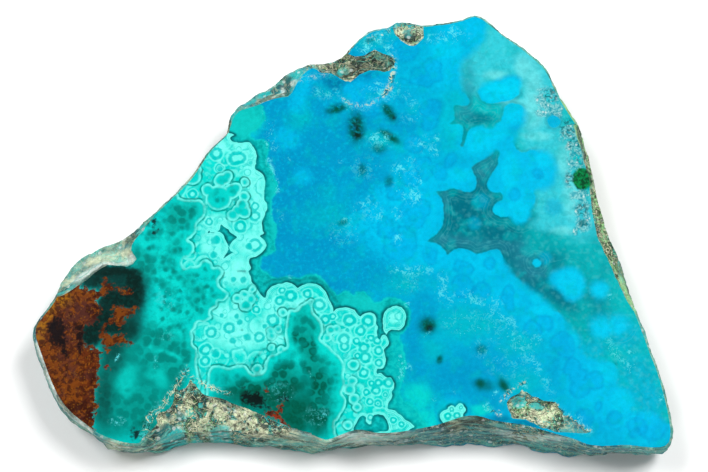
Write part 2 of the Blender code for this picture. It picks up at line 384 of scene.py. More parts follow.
@dataclass
class SlabMesh:
    """The visible stone: a fine flat face, and the CAD slab's rough skin made finer and craggier.

    Lengths are in millimetres until the mesh is finished.
    """

    plan: StonePlan
    name: str = "polished_slab"
    face_spacing: float = 0.36
    back_spacing: float = 1.3
    skin_cuts: int = 2
    crag_size: float = 2.4
    crag_height: float = 0.16
    grain_size: float = 0.8
    grain_height: float = 0.07
    rim_gap: float = 0.6
    weld_reach: float = 0.002
    level_reach: float = 0.003

    def is_level(self, part: object, height: float) -> bool:
        """True where every corner of a face or an edge lies at that height."""
        return all(abs(vert.co.z - height) < self.level_reach for vert in part.verts)

    def skin(self, node: bpy.types.Object) -> bmesh.types.BMesh:
        """The CAD slab without its two flat faces, each triangle cut finer.

        Args:
            node: the CAD slab.

        Returns:
            An open bmesh in millimetres.
        """
        made = bmesh.new()
        made.from_mesh(node.data)
        bmesh.ops.scale(made, verts=made.verts, vec=(1 / MM, 1 / MM, 1 / MM))
        bmesh.ops.remove_doubles(made, verts=made.verts, dist=self.weld_reach)
        heights = (self.plan.thickness, 0.0)
        flat = [face for face in made.faces if any(self.is_level(face, height) for height in heights)]
        bmesh.ops.delete(made, geom=flat, context="FACES")
        bmesh.ops.subdivide_edges(made, edges=made.edges, cuts=self.skin_cuts, use_grid_fill=True)
        bmesh.ops.triangulate(made, faces=made.faces)
        return made

    def roughen(self, made: bmesh.types.BMesh) -> None:
        """Moves the skin's points out and in along its normals, all but those on its open edges.

        Args:
            made: the open skin.
        """
        made.normal_update()
        inner = [vert for vert in made.verts if not vert.is_boundary]
        places = np.array([vert.co for vert in inner])
        reach = self.crag_height * rough(places, self.crag_size)
        reach += self.grain_height * rough(places, self.grain_size)
        for vert, distance in zip(inner, reach):
            vert.co += vert.normal * distance

    def fill(self, made: bmesh.types.BMesh, height: float, spacing: float, material: int) -> None:
        """Closes one open side with a level face of even triangles, and leaves the pits in it open.

        Args:
            made: the open skin.
            height: the height of the side's open edges.
            spacing: how far apart the face's inner points lie.
            material: the face's material slot.
        """
        rim = [edge for edge in made.edges if edge.is_boundary and self.is_level(edge, height)]
        corners = list(dict.fromkeys(vert for edge in rim for vert in edge.verts))
        number = {vert: index for index, vert in enumerate(corners)}
        edges = [(number[edge.verts[0]], number[edge.verts[1]]) for edge in rim]
        outline = np.array([vert.co[:2] for vert in corners])
        tree = tree_of(outline)
        loose = lattice(outline.min(axis=0), outline.max(axis=0), spacing)
        clear = np.array([tree.find((*point, 0.0))[2] > self.rim_gap * spacing for point in loose])
        points = np.vstack([outline, loose[clear]])
        corners_2d = [Vector(point) for point in points]
        found, _, faces, origins, *_ = geometry.delaunay_2d_cdt(corners_2d, edges, [], 2, 1e-5)
        starts, ends = (np.array([edge.verts[k].co[:2] for edge in rim]) for k in (0, 1))
        centres = PlanPoints(np.array([np.mean([found[index] for index in face], axis=0) for face in faces]))
        verts = {}
        for face, solid in zip(faces, centres.inside(starts, ends)):
            if not solid:
                continue
            for index in face:
                if index not in verts:
                    source = origins[index][0] if origins[index] else len(corners)
                    inner = source >= len(corners)
                    verts[index] = made.verts.new((*found[index], height)) if inner else corners[source]
            order = face if height > 0 else reversed(face)
            new = made.faces.new([verts[index] for index in order])
            new.material_index = material
        for edge in rim:
            edge.smooth = False

    def build(self, node: bpy.types.Object) -> bpy.types.Object:
        """Makes the whole stone as one closed mesh.

        Args:
            node: the CAD slab.

        Returns:
            The new object, in metres.
        """
        made = self.skin(node)
        self.roughen(made)
        for face in made.faces:
            face.material_index = StoneSurface.SKIN.value
            face.smooth = True
        self.fill(made, self.plan.thickness, self.face_spacing, StoneSurface.POLISHED.value)
        self.fill(made, 0.0, self.back_spacing, StoneSurface.SAWN.value)
        bmesh.ops.scale(made, verts=made.verts, vec=(MM, MM, MM))
        mesh = bpy.data.meshes.new(self.name)
        made.to_mesh(mesh)
        open_edges = sum(len(edge.link_faces) != 2 for edge in made.edges)
        LOG.info("%s: %d triangles, %d open edges", self.name, len(made.faces), open_edges)
        made.free()
        stone = bpy.data.objects.new(self.name, mesh)
        bpy.context.scene.collection.objects.link(stone)
        return stone


@dataclass
class MintMass:
    """The pale banded malachite: scalloped, with two hollows, eyes and ring-edged islands."""

    rim: tuple = (
        (34.9, 59), (35, 58.3), (36, 57.2), (38.5, 57.2), (39.2, 56.5), (40, 55.2), (40, 53.5), (39.7, 52.2),
        (40.6, 51.5), (41.5, 50.7), (41.7, 49.5), (41.6, 47.5), (41.5, 46.3), (42, 45.5), (42.1, 44.8),
        (41.7, 43.4), (41.2, 41.8), (41.3, 40.6), (41.6, 39.9), (40.9, 39.4), (41.7, 38.6), (42, 37.5),
        (41.5, 36.5), (40.4, 35.7), (39.2, 35.3), (39, 34.3), (39.3, 33.3), (38.9, 32.8), (39.3, 31.8),
        (39.6, 30.5), (40.2, 30.1), (40.6, 29.3), (41, 28.7), (41.5, 28), (42, 27.7), (42.3, 28.8),
        (43, 29.8), (43.8, 30.2), (45, 30.5), (46.3, 30.6), (47.2, 30.2), (47.9, 29.6), (48.5, 30.1),
        (49.5, 30.5), (50.5, 30.45), (51.4, 30.3), (52.2, 29.7), (52.8, 28.9), (53.2, 28.2), (53.6, 27.2),
        (54.1, 26.3), (54.2, 25.3), (54.9, 25.8), (55.8, 26), (57, 25.9), (57.9, 25.6), (58.5, 25),
        (59.1, 24.3), (59.5, 24.7), (60.2, 25.05), (61.1, 25.1), (61.7, 24.7), (62, 23.9), (62, 23),
        (62.3, 22.4), (62.1, 21.9), (62.1, 21.2), (62.3, 20.4), (62.8, 20.3), (63, 20.9), (63.5, 21),
        (63.9, 20.6), (64.1, 20), (64.2, 19.5), (63.9, 19), (63.3, 18.3), (63.5, 17.3), (63.6, 16.4),
        (63.5, 15.5), (63.1, 15), (62.1, 14.8), (62, 13.9), (62.9, 13.9), (63.7, 13.3), (64.6, 13.1),
        (65.1, 12.2), (65, 11.2), (64.7, 10.7), (64.9, 10), (64.5, 9.4), (64.1, 8.8), (64, 8), (64.1, 7.5),
        (65.1, 7.3), (65.6, 6.9), (66.5, 6.4), (67, 5.6), (67.7, 5.3), (68.2, 4.9), (68.6, 4.3), (67.6, 3.6),
        (66, 0), (30, -6), (-6, -6), (-6, 50), (20, 62),
    )
    satellites: tuple = (
        (75.4, 7.4, 0.8), (74.6, 6.2, 1.3), (76.2, 6.4, 1.2), (75.2, 5.3, 1.3), (76.8, 8, 0.6),
        (77.3, 7.4, 0.5),
    )
    lone_eye: tuple = (
        (65.4, 26.3), (64.2, 25.9), (63.4, 25), (63.25, 23.7), (63.3, 22.8), (63.2, 22.2), (63.6, 21.5),
        (63.8, 21.1), (64.2, 21.8), (65, 22), (66.2, 22.1), (67, 22.8), (67.3, 24), (67.3, 25), (66.6, 26),
        (65.9, 26.3),
    )
    upper_hollow: tuple = (
        (31.4, 39.8), (31.6, 40.5), (32, 40.2), (33.3, 40.3), (33.7, 41.6), (34.3, 41.2), (35.2, 40.7),
        (35.6, 40), (36.9, 39.2), (36.1, 38.5), (35.5, 37.5), (35.6, 36.6), (36.3, 36.4), (35.2, 35.7),
        (34.3, 35), (34.1, 35.2), (34.9, 36.2), (35.1, 37.2), (34.8, 38.5), (34.2, 39.6), (33.3, 40),
        (32, 39.9),
    )
    near_hollow: tuple = (
        (57.9, 3.6), (58.6, 5.5), (59.3, 6.4), (60, 6.2), (60.2, 5.3), (60.9, 4.9), (61.6, 6.6), (62.9, 6.5),
        (63.6, 6), (64.2, 4.8), (63.9, 3.6), (60.5, 3.4),
    )
    slits: tuple = (
        ((37.2, 32.75), (38.6, 32.7)), ((33, 53.6), (33.9, 53)), ((62.7, 20.8), (63.1, 23.6)),
        ((47.5, 30.2), (47.95, 29.2)), ((39.3, 15.3), (40, 16), (40.3, 16.8), (41.3, 17.8), (42, 18.5)),
    )
    islands: tuple = (
        (33.6, 50, 1.25), (34.8, 50.8, 0.95), (34.3, 50.2, 1.1), (33.2, 46.6, 2.35), (31.3, 48.1, 1.2),
        (35.6, 47.8, 1.4), (36.4, 48.4, 1.1), (38, 49.6, 0.8), (37.9, 46.9, 0.95), (37.6, 45.3, 1.1),
        (38, 43.9, 1.15), (36.9, 44.2, 1.1), (35.9, 43.3, 1), (28.4, 50.6, 1.5), (29, 52, 1),
        (36.9, 27.8, 0.8), (38.3, 28.5, 0.8), (39.4, 27.6, 0.9), (38.5, 26.5, 1.1), (39.6, 29.4, 0.7),
        (45.2, 25.2, 0.75), (44.4, 22, 0.75), (43.1, 21.6, 0.7), (43.2, 20.9, 0.7), (43.2, 18.7, 0.6),
        (45, 18.3, 0.7), (47, 17.8, 0.8), (53.9, 21.9, 0.9), (53.2, 20.5, 0.8), (54.9, 22.1, 0.75),
        (50.3, 27.2, 0.5), (40.7, 14.8, 0.9), (28.1, 20.4, 0.9), (57.9, 15.6, 1), (57.7, 12.6, 0.85),
        (57.2, 11.1, 1), (58, 9.4, 0.9), (58.6, 7.9, 0.8), (56.9, 4.7, 0.8),
    )
    eyes: tuple = (
        (32.7, 55.1, 1.3), (36.2, 54.2, 1.4), (37, 54.3, 1.3), (33.3, 52.3, 0.9), (39.9, 45, 0.9),
        (39.9, 43.2, 1.15), (37.3, 41.2, 1.2), (28.5, 47.3, 0.9), (31.6, 42.1, 0.8), (40, 37.7, 1.4),
        (46.6, 28.2, 1.2), (44.6, 27.3, 1), (51.8, 26.6, 1.2), (43.4, 23.7, 1.3), (52.8, 23.9, 1),
        (57.2, 23.7, 1.2), (59.2, 21.8, 1), (60.5, 23.6, 1.2), (56.2, 20.2, 1.2), (56.3, 18.9, 0.9),
        (41, 20.6, 1.1), (40.4, 25.7, 0.8), (32.4, 21.5, 1.1), (35.6, 22.3, 1.2), (31.5, 18.3, 1.2),
        (31.4, 16.3, 1), (59.7, 14.1, 1), (59.8, 18.7, 1.1), (60, 16.9, 1.1), (61.1, 12.2, 0.6),
        (62.4, 12.3, 0.8), (61.9, 10.9, 0.9), (63.6, 10.2, 0.5), (62.3, 8.5, 0.8), (64.1, 12.3, 1),
        (62.5, 15.9, 0.8), (62.4, 18.1, 0.9), (62.2, 20, 0.8), (60.9, 6, 0.7), (60.9, 4.3, 0.7),
        (65, 5.6, 0.7), (66.4, 4.8, 0.6), (54.2, 24.4, 0.7), (49.6, 28.6, 0.9), (45, 29.2, 0.7),
        (58.4, 19.9, 0.7), (61, 20.4, 0.7), (58.6, 17.2, 0.6), (60.8, 8.9, 0.7), (60.2, 10.6, 0.7),
        (74.6, 6.3, 0.75), (76.3, 6.4, 0.7), (75.2, 4.9, 0.6), (75.4, 7.5, 0.5), (76.9, 7.9, 0.4),
    )
    cores: tuple = (
        (33.4, 52.2, 0.55), (32.8, 38.6, 0.9), (32.6, 35.9, 0.7), (36.2, 31.3, 0.6), (38, 31.2, 0.7),
        (38.9, 37.4, 0.7), (36.9, 24.5, 0.5), (38.9, 20.6, 0.8), (36.2, 19.9, 0.7), (33.2, 17.7, 0.8),
        (62.3, 8.5, 0.3), (63.6, 10.2, 0.2), (66.3, 24.8, 0.25), (64.4, 24.1, 0.22), (38.1, 49.7, 0.6),
        (37.4, 23.4, 0.6), (34.2, 24.6, 0.5), (42, 22.6, 0.5), (56.8, 21.9, 0.4), (60.3, 19.9, 0.35),
    )
    pips: tuple = (
        (35.7, 22.2, 0.15), (37.8, 22, 0.2), (38.2, 18.1, 0.14), (36.3, 30.5, 0.14), (62.3, 8.5, 0.14),
    )
    least_banding: float = 0.4
    banded: tuple = (
        (45.2, 28.2, 3.4), (50.8, 28, 3.6), (56.5, 24.2, 2.6), (60.6, 23.6, 1.8), (65.3, 24.1, 3),
        (63.2, 12, 2.6), (66, 6, 2.6), (62.5, 18.5, 2),
    )
    pale: tuple = (
        (39.6, 52, 1.8, 5), (40.6, 45, 1.4, 4), (40.8, 40, 1.2, 2.6), (31.4, 38.2, 1.2, 2.4),
        (34, 36.2, 1.3, 1.6), (33, 42, 2.8, 1.4), (36.8, 32.8, 3.6, 2.6), (40.3, 34.2, 1.4, 1.4),
        (37.6, 21, 5.2, 2.6), (35.2, 25.2, 2.6, 1.6), (43.2, 24.6, 1.6, 1.2), (39, 38, 2.6, 2.2),
        (48.6, 26.6, 1.4, 1), (46.2, 26.2, 1.6, 1), (52.2, 26.8, 1.2, 0.9), (56.4, 20, 1, 1.4),
        (65.3, 24.1, 1.1, 1.1), (33.6, 56.6, 1.6, 1.4), (36.6, 56.4, 2.2, 0.7), (44.4, 20.2, 1.2, 1),
        (37.6, 27.3, 1.6, 1.4), (42.8, 26.8, 1.6, 1),
    )
    deep: tuple = (
        (37, 50.8, 2.2, 2.6), (36, 45.6, 3, 3.4), (34.6, 53, 2, 1.2), (30, 50, 2, 2.4),
        (30.2, 44.2, 1.4, 2.2), (38.4, 41.6, 2.2, 2), (30, 36.4, 1.4, 2.2), (31, 33.8, 2, 1.4),
        (32, 27.6, 1.6, 3), (41.8, 22.4, 1.2, 2.6), (49, 24, 2, 1.4), (58.4, 22.4, 3, 1.2),
        (61.4, 17.4, 2.4, 3.2), (60.2, 12.4, 2.6, 4.6), (64, 11, 1.2, 2.2), (62, 7.4, 3, 1.2),
        (75.6, 6.4, 3, 2.6), (44.6, 28.4, 1.8, 1.2), (55.6, 23, 2, 1.4), (41, 17, 1.4, 1.4),
        (33.4, 19.6, 1.4, 3),
    )

    def depth(self, points: PlanPoints) -> np.ndarray:
        """How deep each point lies inside the mass, negative in the blue and in the hollows."""
        depth = points.depth_in_any((self.rim, self.lone_eye))
        depth = np.maximum(depth, points.depth_in_discs(self.satellites))
        return np.minimum(depth, -points.depth_in_any((self.upper_hollow, self.near_hollow)))

    def wash(self, points: PlanPoints) -> np.ndarray:
        """The mass's own colour between its rings.

        Args:
            points: the mesh's points in the plan.

        Returns:
            One colour a point.
        """
        wash = Wash.of(points, Tint.MINT)
        wash.dab(Tint.DEEP_MINT, self.deep, 0.85, 0.5)
        wash.dab(Tint.PALE_MINT, self.pale, 1.0, 0.5)
        wash.dab(Tint.DARK_TEAL, self.pips, 1.0, 0.6)
        for slit in self.slits:
            wash.lay(Tint.SEAM, 0.8 * points.along(slit, 0.36))
        return wash.colours


@dataclass
class TealZones:
    """The deep teal malachite inside the mint: a wide zone on the left and a dark one near the bottom."""

    left: tuple = (
        (25.6, 47.6), (26.2, 46.6), (28.2, 46.2), (29.6, 46.3), (30.6, 45.7), (30.9, 44.5), (30.8, 43.4),
        (30, 42.4), (29.4, 41.4), (29.2, 40.2), (28.6, 39.2), (27.9, 38.6), (28.6, 38.2), (29, 37.3),
        (28.9, 36.4), (28.2, 35.6), (27.2, 35.2), (26.9, 34.4), (27.3, 33.4), (28.3, 33.7), (29.6, 33.8),
        (30.2, 34.6), (31.1, 35), (32.1, 34.4), (32.5, 33.5), (33.4, 33.6), (34.2, 33), (34.2, 32),
        (33.5, 31.1), (33.7, 30.2), (34.4, 29.4), (35.2, 28.8), (35.2, 28), (34.5, 27.3), (33.6, 27.2),
        (33.2, 26.2), (32.4, 25.7), (32.1, 24.9), (32.4, 24.2), (31.6, 23.6), (31, 23.3), (30.2, 23.4),
        (29.7, 23), (29.6, 22.6), (29.3, 22), (28.9, 21.5), (29.1, 20.6), (29.1, 19.6), (29.3, 19),
        (29.8, 18.6), (30, 17.5), (29.9, 15.5), (30.1, 14.4), (30.3, 13.5), (30.2, 10), (24, -6), (-6, -6),
        (-6, 50), (20, 56),
    )
    lower: tuple = (
        (46.3, 25.5), (47.6, 25.7), (48.7, 26.7), (49.7, 27.2), (50.4, 26.5), (50.7, 25.2), (51.6, 24.2),
        (52.3, 23), (52.4, 21.6), (52, 20.4), (53, 19.4), (54.5, 18), (55.5, 17), (56.3, 15.5), (56.2, 13.5),
        (56.4, 12), (56, 10.5), (56.6, 9), (56, 7), (55, 5.5), (54.5, 4.5), (54, -4), (31.5, -4),
        (31.7, 10.5), (31.9, 12.5), (31.9, 13.8), (32.2, 14.8), (33, 15.4), (33.9, 15.5), (34.8, 15.2),
        (35.7, 15), (36.5, 15.3), (37.5, 15.5), (38.5, 15.4), (39.2, 14.7), (39.7, 14), (40.8, 13.9),
        (41.9, 14.5), (42.3, 16.5), (43, 17.3), (43.9, 17.5), (44.5, 18), (46, 19), (45.6, 21), (45.8, 23),
    )
    shallow: tuple = ((27, 33, 3.5), (30.5, 23, 2), (54.5, 16, 3.2, 7), (75.6, 6.4, 1.2))
    rosettes: tuple = (
        (1, (27, 38, 9, 9)), (1, (28, 27, 8, 8)), (0.8, (25, 19, 6, 5)), (0.9, (46, 21, 9, 8)),
        (0.7, (40, 14, 9, 3)), (0.7, (54, 13, 4, 8)), (0.5, (20, 8, 5, 4)), (0.8, (33, 49, 8, 6)),
    )
    unmarked: tuple = (13, 26, 8.6, 9)
    bright: tuple = (
        (17.6, 12.8, 1.8, 2.4), (29.4, 34.8, 2.6, 1.4), (24.6, 39, 2.2, 1.4), (33, 14.6, 1.6, 0.8),
        (54.8, 19, 1.8, 2.6), (52.8, 18.2, 2.2, 2.4), (55.4, 8, 1, 2.4), (48, 16.8, 1.6, 1.4),
        (23.4, 25, 2.4, 2.2), (27, 25.4, 1.4, 1.6), (30.6, 26.8, 1.2, 1), (26.6, 20.4, 1.4, 1.4),
        (25.4, 31.4, 1.6, 1.4), (22.6, 13.6, 1.6, 1.2), (20.2, 38.6, 1.4, 1), (27.4, 30, 1.4, 0.8),
    )
    glow_lines: tuple = (
        ((23, 31.6), (22.4, 33.6), (22.6, 35.6), (24.2, 37.8), (23.6, 39.4), (25, 42.2)),
        ((24.2, 35.2), (27.6, 34.4), (29.6, 35.2)), ((24.6, 31.8), (26.8, 30.8), (29.8, 31.6)),
        ((26.8, 27.6), (27.6, 25.4), (29.8, 25)), ((30.4, 30), (32.4, 29.4), (33.6, 27.2)),
        ((23, 24.4), (25.4, 24.2), (27.6, 24.6)), ((26, 37.8), (27.8, 38.8), (28.4, 40)),
        ((24.2, 24), (25.2, 21.6), (27.2, 21.4)), ((21.4, 19), (23.6, 17.4), (26.8, 16.6)),
    )
    gloom: tuple = (
        (27.2, 43.9, 2.8, 2), (22, 40.5, 1.3), (25.2, 41, 1), (27.7, 41, 1.2), (22, 37, 0.8),
        (26.2, 38.3, 1), (24.8, 37, 1), (26.4, 36.4, 1.1), (24, 35.2, 0.9), (23.5, 33.5, 0.8),
        (25.2, 33.6, 0.9), (26.8, 32.3, 0.8), (24, 30.5, 1.2), (28.2, 30.7, 1.3), (28.8, 28.8, 1),
        (31, 28.8, 1.2), (23.8, 27.6, 1), (25.4, 29.4, 0.7), (25.4, 26, 0.9), (29, 26.8, 1.4),
        (32.3, 26.8, 1), (30.8, 25, 0.9), (33.7, 28.3, 0.8), (20.7, 19.9, 0.9), (22.9, 20.9, 0.9),
        (21.3, 17.5, 1.1), (21.3, 16, 0.9), (22.9, 18.5, 0.8), (24, 16.5, 0.9), (25.6, 14.7, 1.2),
        (25.7, 18.9, 0.8), (26.5, 22.9, 0.7), (24.3, 22.5, 0.8), (22.3, 22.9, 0.7), (28.7, 24, 0.7),
        (28, 22.3, 0.6), (28.5, 17.7, 1.3), (29.3, 18, 0.8), (16.8, 9.8, 0.8), (18, 8.3, 1.2),
        (20, 8.5, 1.8), (19.2, 5.6, 1.2), (49, 24.9, 0.8), (48.9, 22.7, 1.3), (46.8, 22.3, 1),
        (49.9, 21.7, 0.8), (46.4, 23.6, 0.8), (45.6, 16.6, 1.5), (43.7, 15.8, 0.6), (47.9, 13.7, 0.8),
        (51, 11.5, 0.9, 1.5), (52.5, 13.5, 1.3), (54, 11, 0.8), (54.3, 14, 0.5), (49, 7.3, 0.8),
        (54, 8.7, 0.5), (35.8, 13.3, 0.7), (35.5, 11, 0.7), (33.6, 50, 0.6), (32.2, 47.6, 0.8),
        (25.4, 43.6, 1.9, 1.8), (25, 41.4, 1.3, 1.8), (41.4, 13.4, 0.8), (43.6, 13.6, 0.9),
        (39.8, 12.4, 0.9), (35.8, 47.9, 0.8), (37.4, 45, 0.7), (36.6, 44.2, 0.6), (38.5, 26.6, 0.5),
        (36.9, 27.8, 0.4),
    )
    shade: tuple = (
        (13.8, 8, 2.6, 5), (22, 6, 4, 3), (19, 12, 7, 9), (25.6, 18, 4, 4), (15.5, 20, 4, 6, -20),
        (14.2, 9.5, 2, 5.4), (23.4, 20.6, 3.6, 3), (19.6, 34.4, 2.4, 3.6, 30), (27.2, 44, 3, 2, 30),
        (44.6, 9.4, 10.5, 4.6, -4), (49.8, 20.4, 2.6, 3), (51.2, 12.6, 3.4, 4.8), (49.4, 23.2, 2.6, 2.6),
        (51.8, 6.2, 3.6, 3), (20, 7.2, 5.6, 3.4), (26, 12.8, 2, 3),
    )
    pits: tuple = (
        (48.1, 20.3, 1.2), (50.4, 18.3, 1.4), (50.5, 16.9, 0.9), (55.1, 13.8, 0.6), (52.5, 6, 1.3),
        (42, 10.4, 3.6, 1.8), (50.8, 11.4, 0.8, 1.6), (46.6, 12.4, 1.6, 1.2), (52.2, 13.6, 1.2, 0.8),
        (49.9, 18.1, 1.6), (45.6, 14.7, 1.8), (44.6, 11.9, 2), (51.9, 11.9, 2), (46.9, 6.1, 2),
        (52.5, 4.4, 1.6), (38.4, 10.6, 4, 2.2), (45.6, 7.6, 4.4, 3.6), (50.2, 7, 3.2, 2.6),
        (51, 13.8, 1.8, 3), (21.4, 5.2, 1.2, 1),
    )

    def depth(self, points: PlanPoints, islands: tuple) -> np.ndarray:
        """How deep each point lies inside the teal, counting the mint's own islands."""
        return np.maximum(points.depth_in_any((self.left, self.lower)), points.depth_in_discs(islands))

    def calm(self, points: PlanPoints) -> np.ndarray:
        """1 where the teal runs softly into the mint, with no line between them."""
        return points.covered(self.shallow, 1.3, 0.7)

    def wash(self, points: PlanPoints) -> np.ndarray:
        """The teal's own colour, with its dark soft spots.

        Args:
            points: the mesh's points in the plan.

        Returns:
            One colour a point.
        """
        wash = Wash.of(points, Tint.TEAL)
        wash.dab(Tint.DARK_TEAL, self.shade, 0.85, 0.6)
        wash.dab(Tint.BRIGHT_TEAL, self.bright, 0.6, 0.6)
        for line in self.glow_lines:
            wash.lay(Tint.BRIGHT_TEAL, 0.7 * points.along(line, 0.8))
        wash.dab(Tint.DARK_TEAL, self.gloom, 0.62, 0.35)
        wash.dab(Tint.BOTTLE, self.pits, 0.86, 0.6)
        return wash.colours

    def rosetted(self, points: PlanPoints) -> np.ndarray:
        """How plainly small round cells show at each point, from 0 to 1."""
        plain = np.full(len(points.places), 0.15)
        for weight, oval in self.rosettes:
            plain = np.maximum(plain, weight * fade(points.share_of(*oval), 1.2, 0.8))
        return plain * fade(points.share_of(*self.unmarked), 0.85, 1.15)


@dataclass
class BlueField:
    """The blue chrysocolla: mottled azure with dark inclusions, sugary specks and faint rings."""

    greener: tuple = (
        (47.5, 61.5, 2.2), (48.8, 62.2, 1.6), (53, 48, 1.6), (52.4, 67.5, 1.4), (72, 18, 2.6, 2.2),
        (70, 8.6, 4.6, 4), (52, 43, 5, 3), (60, 57.5, 3, 2.6), (64, 57.8, 3, 1.6), (76.4, 6.2, 2.4, 2),
        (80.6, 7.6, 1.6, 0.9), (66, 31, 4, 2.4), (78, 23, 6, 3), (88, 19.6, 3.4, 2.2), (66.6, 14, 1.8, 5),
        (76.6, 62, 3, 6), (106, 17.6, 4.4, 3.2), (104.6, 31.6, 2, 5), (110.6, 14, 1.6, 6),
        (88, 12.6, 3.6, 2), (67.6, 79.4, 4.4, 1.6), (60.6, 77, 3.4, 1.4), (54.6, 61.2, 1.6, 1.4),
        (57.8, 41.6, 2.2, 1.6),
    )
    deeper: tuple = (
        (48, 50, 5, 7), (44.6, 42, 2.2, 5), (52, 37, 7, 4), (60, 52, 4, 5), (55, 58, 5, 4),
        (70.6, 25.4, 2.4, 3.4), (69, 16, 2, 4), (75, 12, 5, 4), (80, 15, 6, 4), (71.4, 70, 1.6),
        (73, 64, 1.6), (82, 8.4, 3, 2.4), (56, 30, 6, 2.4), (62, 33, 4, 2.4), (60.4, 61.6, 4, 2.2),
        (53, 30, 2, 1.4), (76, 52, 2.6, 1.8), (67.4, 60.4, 3, 2.2), (54, 68.6, 2.4, 1.6), (96.6, 15, 3.4, 4),
        (101.4, 5.6, 4, 2), (40.9, 59.2, 1.6, 1.3), (68.5, 21, 1.6, 3),
    )
    brighter: tuple = (
        (45.6, 58, 2.4, 2), (48.6, 50.6, 1.6), (61, 41.4, 4.4, 3), (66, 43, 6, 5), (47.6, 65, 1.6, 2.4),
        (48.6, 69, 1.4, 3), (57.8, 67.4, 2, 2.2), (71.4, 44.6, 3, 4.4), (68, 37, 6, 3.4), (76, 35, 6, 2.2),
        (81.6, 33.6, 3.4, 2.6), (86, 28.6, 4, 3), (92, 24, 4, 3), (99, 14, 4, 5), (104, 8, 4.4, 4),
        (109.6, 5, 4, 3.4), (104, 22.6, 4, 2.2), (76, 50.6, 4, 2.4), (82, 58, 3, 2), (77, 80, 4, 2),
        (81, 78.6, 2, 4), (75, 72, 3.6, 4.4), (86, 67.4, 4, 2.6), (87.4, 62.6, 2.2), (88, 50, 5, 8),
        (93, 52.6, 2.4, 3.6), (97, 30.6, 3, 3.4), (79.4, 56.6, 2.4, 2), (64.6, 47.4, 3, 2),
        (69.6, 51, 3.4, 2.6), (102, 29.6, 2),
    )
    ink: tuple = (
        (60.8, 70.2, 1.6, 0.8, 20), (84, 5.8, 1.6, 0.7), (88.6, 4.9, 3, 0.6, -10), (54, 69, 2.4, 1.2, -40),
        (45.8, 68.2, 1, 1), (57, 69.4, 2, 0.8, 20),
    )
    inclusions: tuple = (
        (58.4, 60.4, 1.15, 2.3), (58.6, 58.9, 1.1, 1), (54.7, 63.7, 1.6, 0.6, 14),
        (64.4, 63.2, 0.7, 1.6, 35), (64.6, 58.4, 1.8, 0.5, -36), (71.3, 22.7, 1.2, 1.2, -30),
        (73.3, 16.5, 0.5, 0.8, -20), (80.5, 12.2, 0.8, 0.8), (84.8, 11.7, 0.5, 1.2, 30),
    )
    faint_inclusions: tuple = (
        (59.5, 52, 0.8, 1.1), (64.4, 49.7, 0.8, 1), (62.6, 56, 1.2, 0.9), (80.8, 18.4, 0.9, 0.8),
        (81.2, 11.8, 1.8, 1, -10), (84.6, 11.9, 0.9, 1.4, 30), (71.2, 22.8, 1.6, 1.6),
        (58.4, 60.2, 1.6, 2.8), (64.6, 62.9, 1.1, 1.9, 35), (54.7, 63.7, 2, 0.9, 14),
        (64.6, 58.4, 2.2, 0.8, -36), (56, 42, 1, 0.5, 20),
    )
    hearts: tuple = (
        (58.7, 58.6, 0.8, 0.7), (58.3, 60.6, 0.6, 1.2), (71.6, 22.3, 0.7, 0.6), (65.4, 62, 0.4, 0.4),
    )
    haze: tuple = (
        (69.4, 9.8, 2.4, 2.4), (70.4, 5, 2.6, 2.4), (75.4, 6.4, 3, 2.8), (80.6, 7.4, 1.8, 1),
        (37.6, 61.2, 3.4, 3.2),
    )
    lobes: tuple = (
        ((71.7, 35.7, 1.4),), ((77.8, 33.6, 1.2),), ((82.4, 34.1, 1.1),), ((77.4, 29.9, 2),),
        ((81, 29.2, 1.6),), ((86.2, 28.4, 1.1), (85.9, 27.2, 1.1), (86, 26.2, 1)), ((92.2, 23.4, 1.4),),
        ((89.8, 22, 1.6),), ((95, 19.6, 1.7), (95.4, 18.4, 1.7)), ((108, 3.9, 1.6),), ((99, 6.4, 1.4),),
        ((101.4, 8, 0.6),), ((96.8, 15.5, 1.5), (98.2, 13.6, 1.5), (98.5, 11.2, 1.7), (100.9, 12.5, 1.5)),
        ((110.6, 4.6, 2.6),), ((70.2, 70.2, 1.5), (72.5, 71.8, 1.6), (73.2, 70.3, 1.2), (71.4, 69.5, 1.3)),
        ((68, 69.4, 0.7),), ((72.4, 63.4, 2), (72.2, 61, 1.7)), ((70.4, 53, 1.7), (70.6, 51.8, 1.5)),
        ((68.3, 50.6, 1.6),), ((73.8, 51.6, 1.5), (75.8, 53.8, 1.1)), ((68.8, 43.6, 2.8), (70.4, 44.4, 2)),
        ((87.4, 47.3, 1.2),), ((91.8, 51, 0.9),), ((67.2, 75.2, 2.6),), ((66.4, 38, 3),), ((63.8, 41, 2),),
        ((60.4, 66.6, 4.4),), ((104.2, 6.4, 1),), ((75.2, 6.8, 3),), ((92, 31, 0.5),), ((69, 57, 1.8),),
        ((65.4, 47.6, 1.6),),
    )
    bright_lobes: tuple = (
        (102.4, 22.4, 2.1), (105.6, 22.8, 1.8), (97.4, 30.6, 2.8, 2.6), (102.2, 29.2, 1.6),
        (91.2, 34.2, 0.8), (84, 67.2, 2.4, 2), (87.4, 67.6, 2.2, 2), (91, 27.8, 1.2), (105.6, 9, 2.2),
        (103.4, 14.2, 2), (110, 6, 2.6, 1.4), (83.4, 67, 2.2), (87, 67.6, 2.4, 2.2), (84.4, 59.8, 2.2),
        (81.2, 57.4, 2.6), (76.6, 60, 1.6), (87.6, 63, 2), (88, 44.2, 2.2), (84.4, 43.9, 1.2),
        (81.2, 46.1, 1.4), (77.4, 51, 2.4, 1.4), (75.4, 75.6, 3, 2), (86.6, 51.6, 1.6, 3.4),
        (93, 54, 1.6, 1.4), (92.4, 25.6, 2.6, 1), (97.4, 20.8, 1, 2.4),
    )
